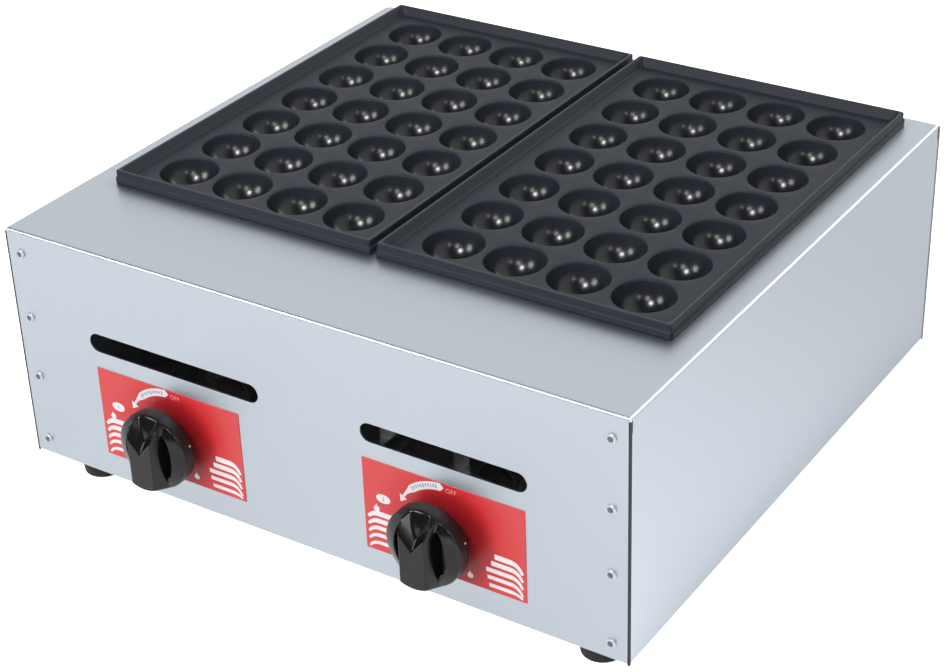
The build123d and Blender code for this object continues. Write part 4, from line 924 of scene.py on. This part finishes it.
moulding = knob_model()
knob_gloss = Finish("knob_gloss", Specular_IOR_Level=0.4)
knob_dust = knob_gloss.noise(380, 4.0)
skirt = knob_gloss.fade(knob_gloss.axes()[1], front_y - 18.5 * mm, front_y - 15.5 * mm)
knob_gloss.cover(0.5 * knob_dust, (0.003, 0.003, 0.0035), (0.009, 0.009, 0.010),
                 0.10 + 0.10 * knob_dust + 0.28 * skirt)
knob_gloss.bump(knob_gloss.noise(2200, stretch=(1, 1, 0.25)), 0.008 * mm)
dot_paint = label_print("dot_paint", (0.62, 0.55, 0.36), 0.45)
dot_middle, dot_half = Vector((24.4, -11.2, 0)), Vector((0.7, 1.5, 1.4))
for side, middle_x in control_x.items():
    place = Matrix.Translation((middle_x * mm, front_y, knob_z * mm))
    knob = bpy.data.objects.new(f"{side}_moulded_knob", moulding.copy())
    knob.data.transform(place)
    knob.data.materials.append(knob_gloss.material)
    scene.collection.objects.link(knob)
    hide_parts(f"{side}_knob")
    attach(knob, f"{side}_knob")
    # a small ivory dot on the skirt's edge
    dot = bmesh.new()
    bmesh.ops.create_uvsphere(dot, u_segments=16, v_segments=10, radius=1.0)
    for vertex in dot.verts:
        vertex.co = (dot_middle + dot_half * vertex.co) * mm
    dot.transform(place @ Matrix.Rotation(-18 * pi / 180, 4, "Y"))
    for face in dot.faces:
        face.smooth = True
    dot_piece = bpy.data.objects.new(f"{side}_knob_dot", as_mesh(dot, f"{side}_knob_dot"))
    dot_piece.data.materials.append(dot_paint.material)
    scene.collection.objects.link(dot_piece)
    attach(dot_piece, f"{side}_knob")

# ---- valves and gas supply --------------------------------------------------
# Each valve is a cast body with a turned brass plug and injector, clamped on a plated pipe. A drawn
# tube feeds that pipe from the brass hose spigot, which a nut holds in the rear panel.
def turned(name, dark, light, roughness, lines):
    """Turned or drawn metal: lines round or along it, with a thin tarnish in clouds."""
    metal = Finish(name, Metallic=1.0)
    tarnish = metal.noise(90, 4.0)
    ridge = metal.noise(1800, 1.0, lines)
    metal.cover(0.35 * ridge + 0.65 * tarnish, light, dark, roughness + 0.16 * tarnish)
    metal.bump(ridge, 0.01 * mm)
    return metal


dress(turned("brass", (0.42, 0.27, 0.09), (0.78, 0.57, 0.24), 0.22, (0.05, 1, 0.05)),
      "gas_inlet", "inlet_locknut", *pairs("valve_plug", "injector"))
dress(turned("plated_steel", (0.34, 0.36, 0.38), (0.62, 0.64, 0.67), 0.26, (0.05, 1, 0.05)),
      *pairs("valve_stem"))
dress(turned("plated_pipe", (0.34, 0.36, 0.38), (0.60, 0.62, 0.65), 0.30, (0.04, 1, 1)),
      "gas_manifold")
dress(turned("drawn_tube", (0.44, 0.45, 0.46), (0.72, 0.73, 0.74), 0.30, (1, 0.04, 1)),
      "supply_pipe")
dress(zinc("valve_casting", (0.60, 0.60, 0.61), 0.48),
      *pairs("valve_bonnet", "valve_body", "valve_clamp"))

# ---- stem springs -----------------------------------------------------------
# A coil of drawn wire round each stem, between the stem's collar and the plug. The real spring
# shortens as the knob is pushed in; this coil keeps one length. The same wire makes the electrodes'
# pins.
spring_wire = turned("spring_wire", (0.22, 0.22, 0.23), (0.48, 0.49, 0.51), 0.28, (1, 1, 1))
dress(spring_wire, *pairs("electrode_pin"))
wire_r, coil_r, knob_travel = 0.4, 4.1, 3.0
spring_back, spring_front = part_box("left_stem_spring")[1].y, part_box("left_stem_spring")[0].y
spring_length = spring_back - spring_front
coil_graph, given = geometry_tree("coil_spring", {
    "Turns": "Float", "Coil radius": "Float", "Height": "Float", "Wire radius": "Float",
    "Metal": "Material"})
wound = coil_graph.node("GeometryNodeCurveSpiral", {
    "Resolution": 28, "Rotations": given["Turns"], "Start Radius": given["Coil radius"],
    "End Radius": given["Coil radius"], "Height": given["Height"]})
section = coil_graph.node("GeometryNodeCurvePrimitiveCircle",
                          {"Resolution": 10, "Radius": given["Wire radius"]})
wire = coil_graph.node("GeometryNodeCurveToMesh",
                       {"Fill Caps": True, "Curve": wound, "Profile Curve": section})
real = coil_graph.node("GeometryNodeRealizeInstances", {0: wire})
drawn = coil_graph.node("GeometryNodeSetMaterial", {"Geometry": real, "Material": given["Metal"]})
coil_graph.node("NodeGroupOutput", {0: drawn})
coil = plain_mesh(bpy.data.objects.new("coil_seat", bpy.data.meshes.new("coil_seat")),
                  coil_graph.tree,
                  {"Turns": 5.0, "Coil radius": coil_r * mm, "Wire radius": wire_r * mm,
                   "Height": spring_length - 2 * wire_r * mm, "Metal": spring_wire.material},
                  "wound_coil")
for face in coil.data.polygons:
    face.use_smooth = True
for side, middle_x in control_x.items():
    spring = bpy.data.objects.new(f"{side}_coil_spring", coil.data.copy())
    spring.data.transform(Matrix.Translation((middle_x * mm, spring_back - wire_r * mm,
                                              knob_z * mm)) @ Matrix.Rotation(pi / 2, 4, "X"))
    scene.collection.objects.link(spring)
    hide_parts(f"{side}_stem_spring")
    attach(spring, f"{side}_valve_plug")
    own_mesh(spring)

# ---- burners ----------------------------------------------------------------
# Welded from steel tube: four ported tubes on a header, fed by a mixing tube with a flared mouth.
# The heat has tinted the steel straw, brown and blue along the ports.
burner_steel = Finish("burner_steel", Metallic=0.9)
heat = burner_steel.noise(26, 4.0, (1, 0.5, 1))
heat = heat * burner_steel.fade(burner_steel.axes()[2], 80 * mm, 118 * mm)
tint = burner_steel.node("ShaderNodeValToRGB", {"Fac": heat})
tint_stops = tint.socket.node.color_ramp.elements
tint_stops[0].color = (0.34, 0.34, 0.35, 1)
tint_stops[1].color = (0.10, 0.13, 0.24, 1)
for place, color in ((0.22, (0.40, 0.30, 0.17, 1)), (0.42, (0.34, 0.19, 0.08, 1)),
                     (0.62, (0.20, 0.11, 0.12, 1))):
    tint_stops.new(place).color = color
scale_dust = burner_steel.noise(600, 4.0)
burner_steel.cover(0.45 * scale_dust, tint, (0.07, 0.05, 0.04), 0.36 + 0.30 * scale_dust)
burner_steel.bump(scale_dust, 0.03 * mm)
dress(burner_steel, *pairs("burner_tubes", "burner_header", "mixing_tube"))

# ---- ignition ---------------------------------------------------------------
# A piezo in an ivory housing beside each valve fires through a silicone lead to an electrode, which
# stands in a ceramic sleeve between the burner tubes.
housing = Finish("igniter_housing", Specular_IOR_Level=0.45)
housing_cloud = housing.noise(200, 3.0)
housing.cover(housing_cloud, (0.56, 0.52, 0.42), (0.66, 0.63, 0.54), 0.42 + 0.14 * housing_cloud)
housing.bump(housing.noise(1400), 0.02 * mm)
dress(housing, *pairs("piezo_igniter"))
lead = Finish("lead_sleeve", Specular_IOR_Level=0.4)
lead_cloud = lead.noise(500, 3.0)
lead.cover(lead_cloud, (0.34, 0.035, 0.02), (0.46, 0.06, 0.04), 0.50 + 0.18 * lead_cloud)
dress(lead, *pairs("ignition_lead"))
alumina = Finish("alumina", Specular_IOR_Level=0.5)
soot = alumina.fade(alumina.axes()[2], 96 * mm, 112 * mm) * alumina.noise(300, 4.0)
alumina.cover(soot, (0.74, 0.72, 0.67), (0.20, 0.16, 0.12), 0.38 + 0.3 * soot)
dress(alumina, *pairs("electrode_ceramic"))
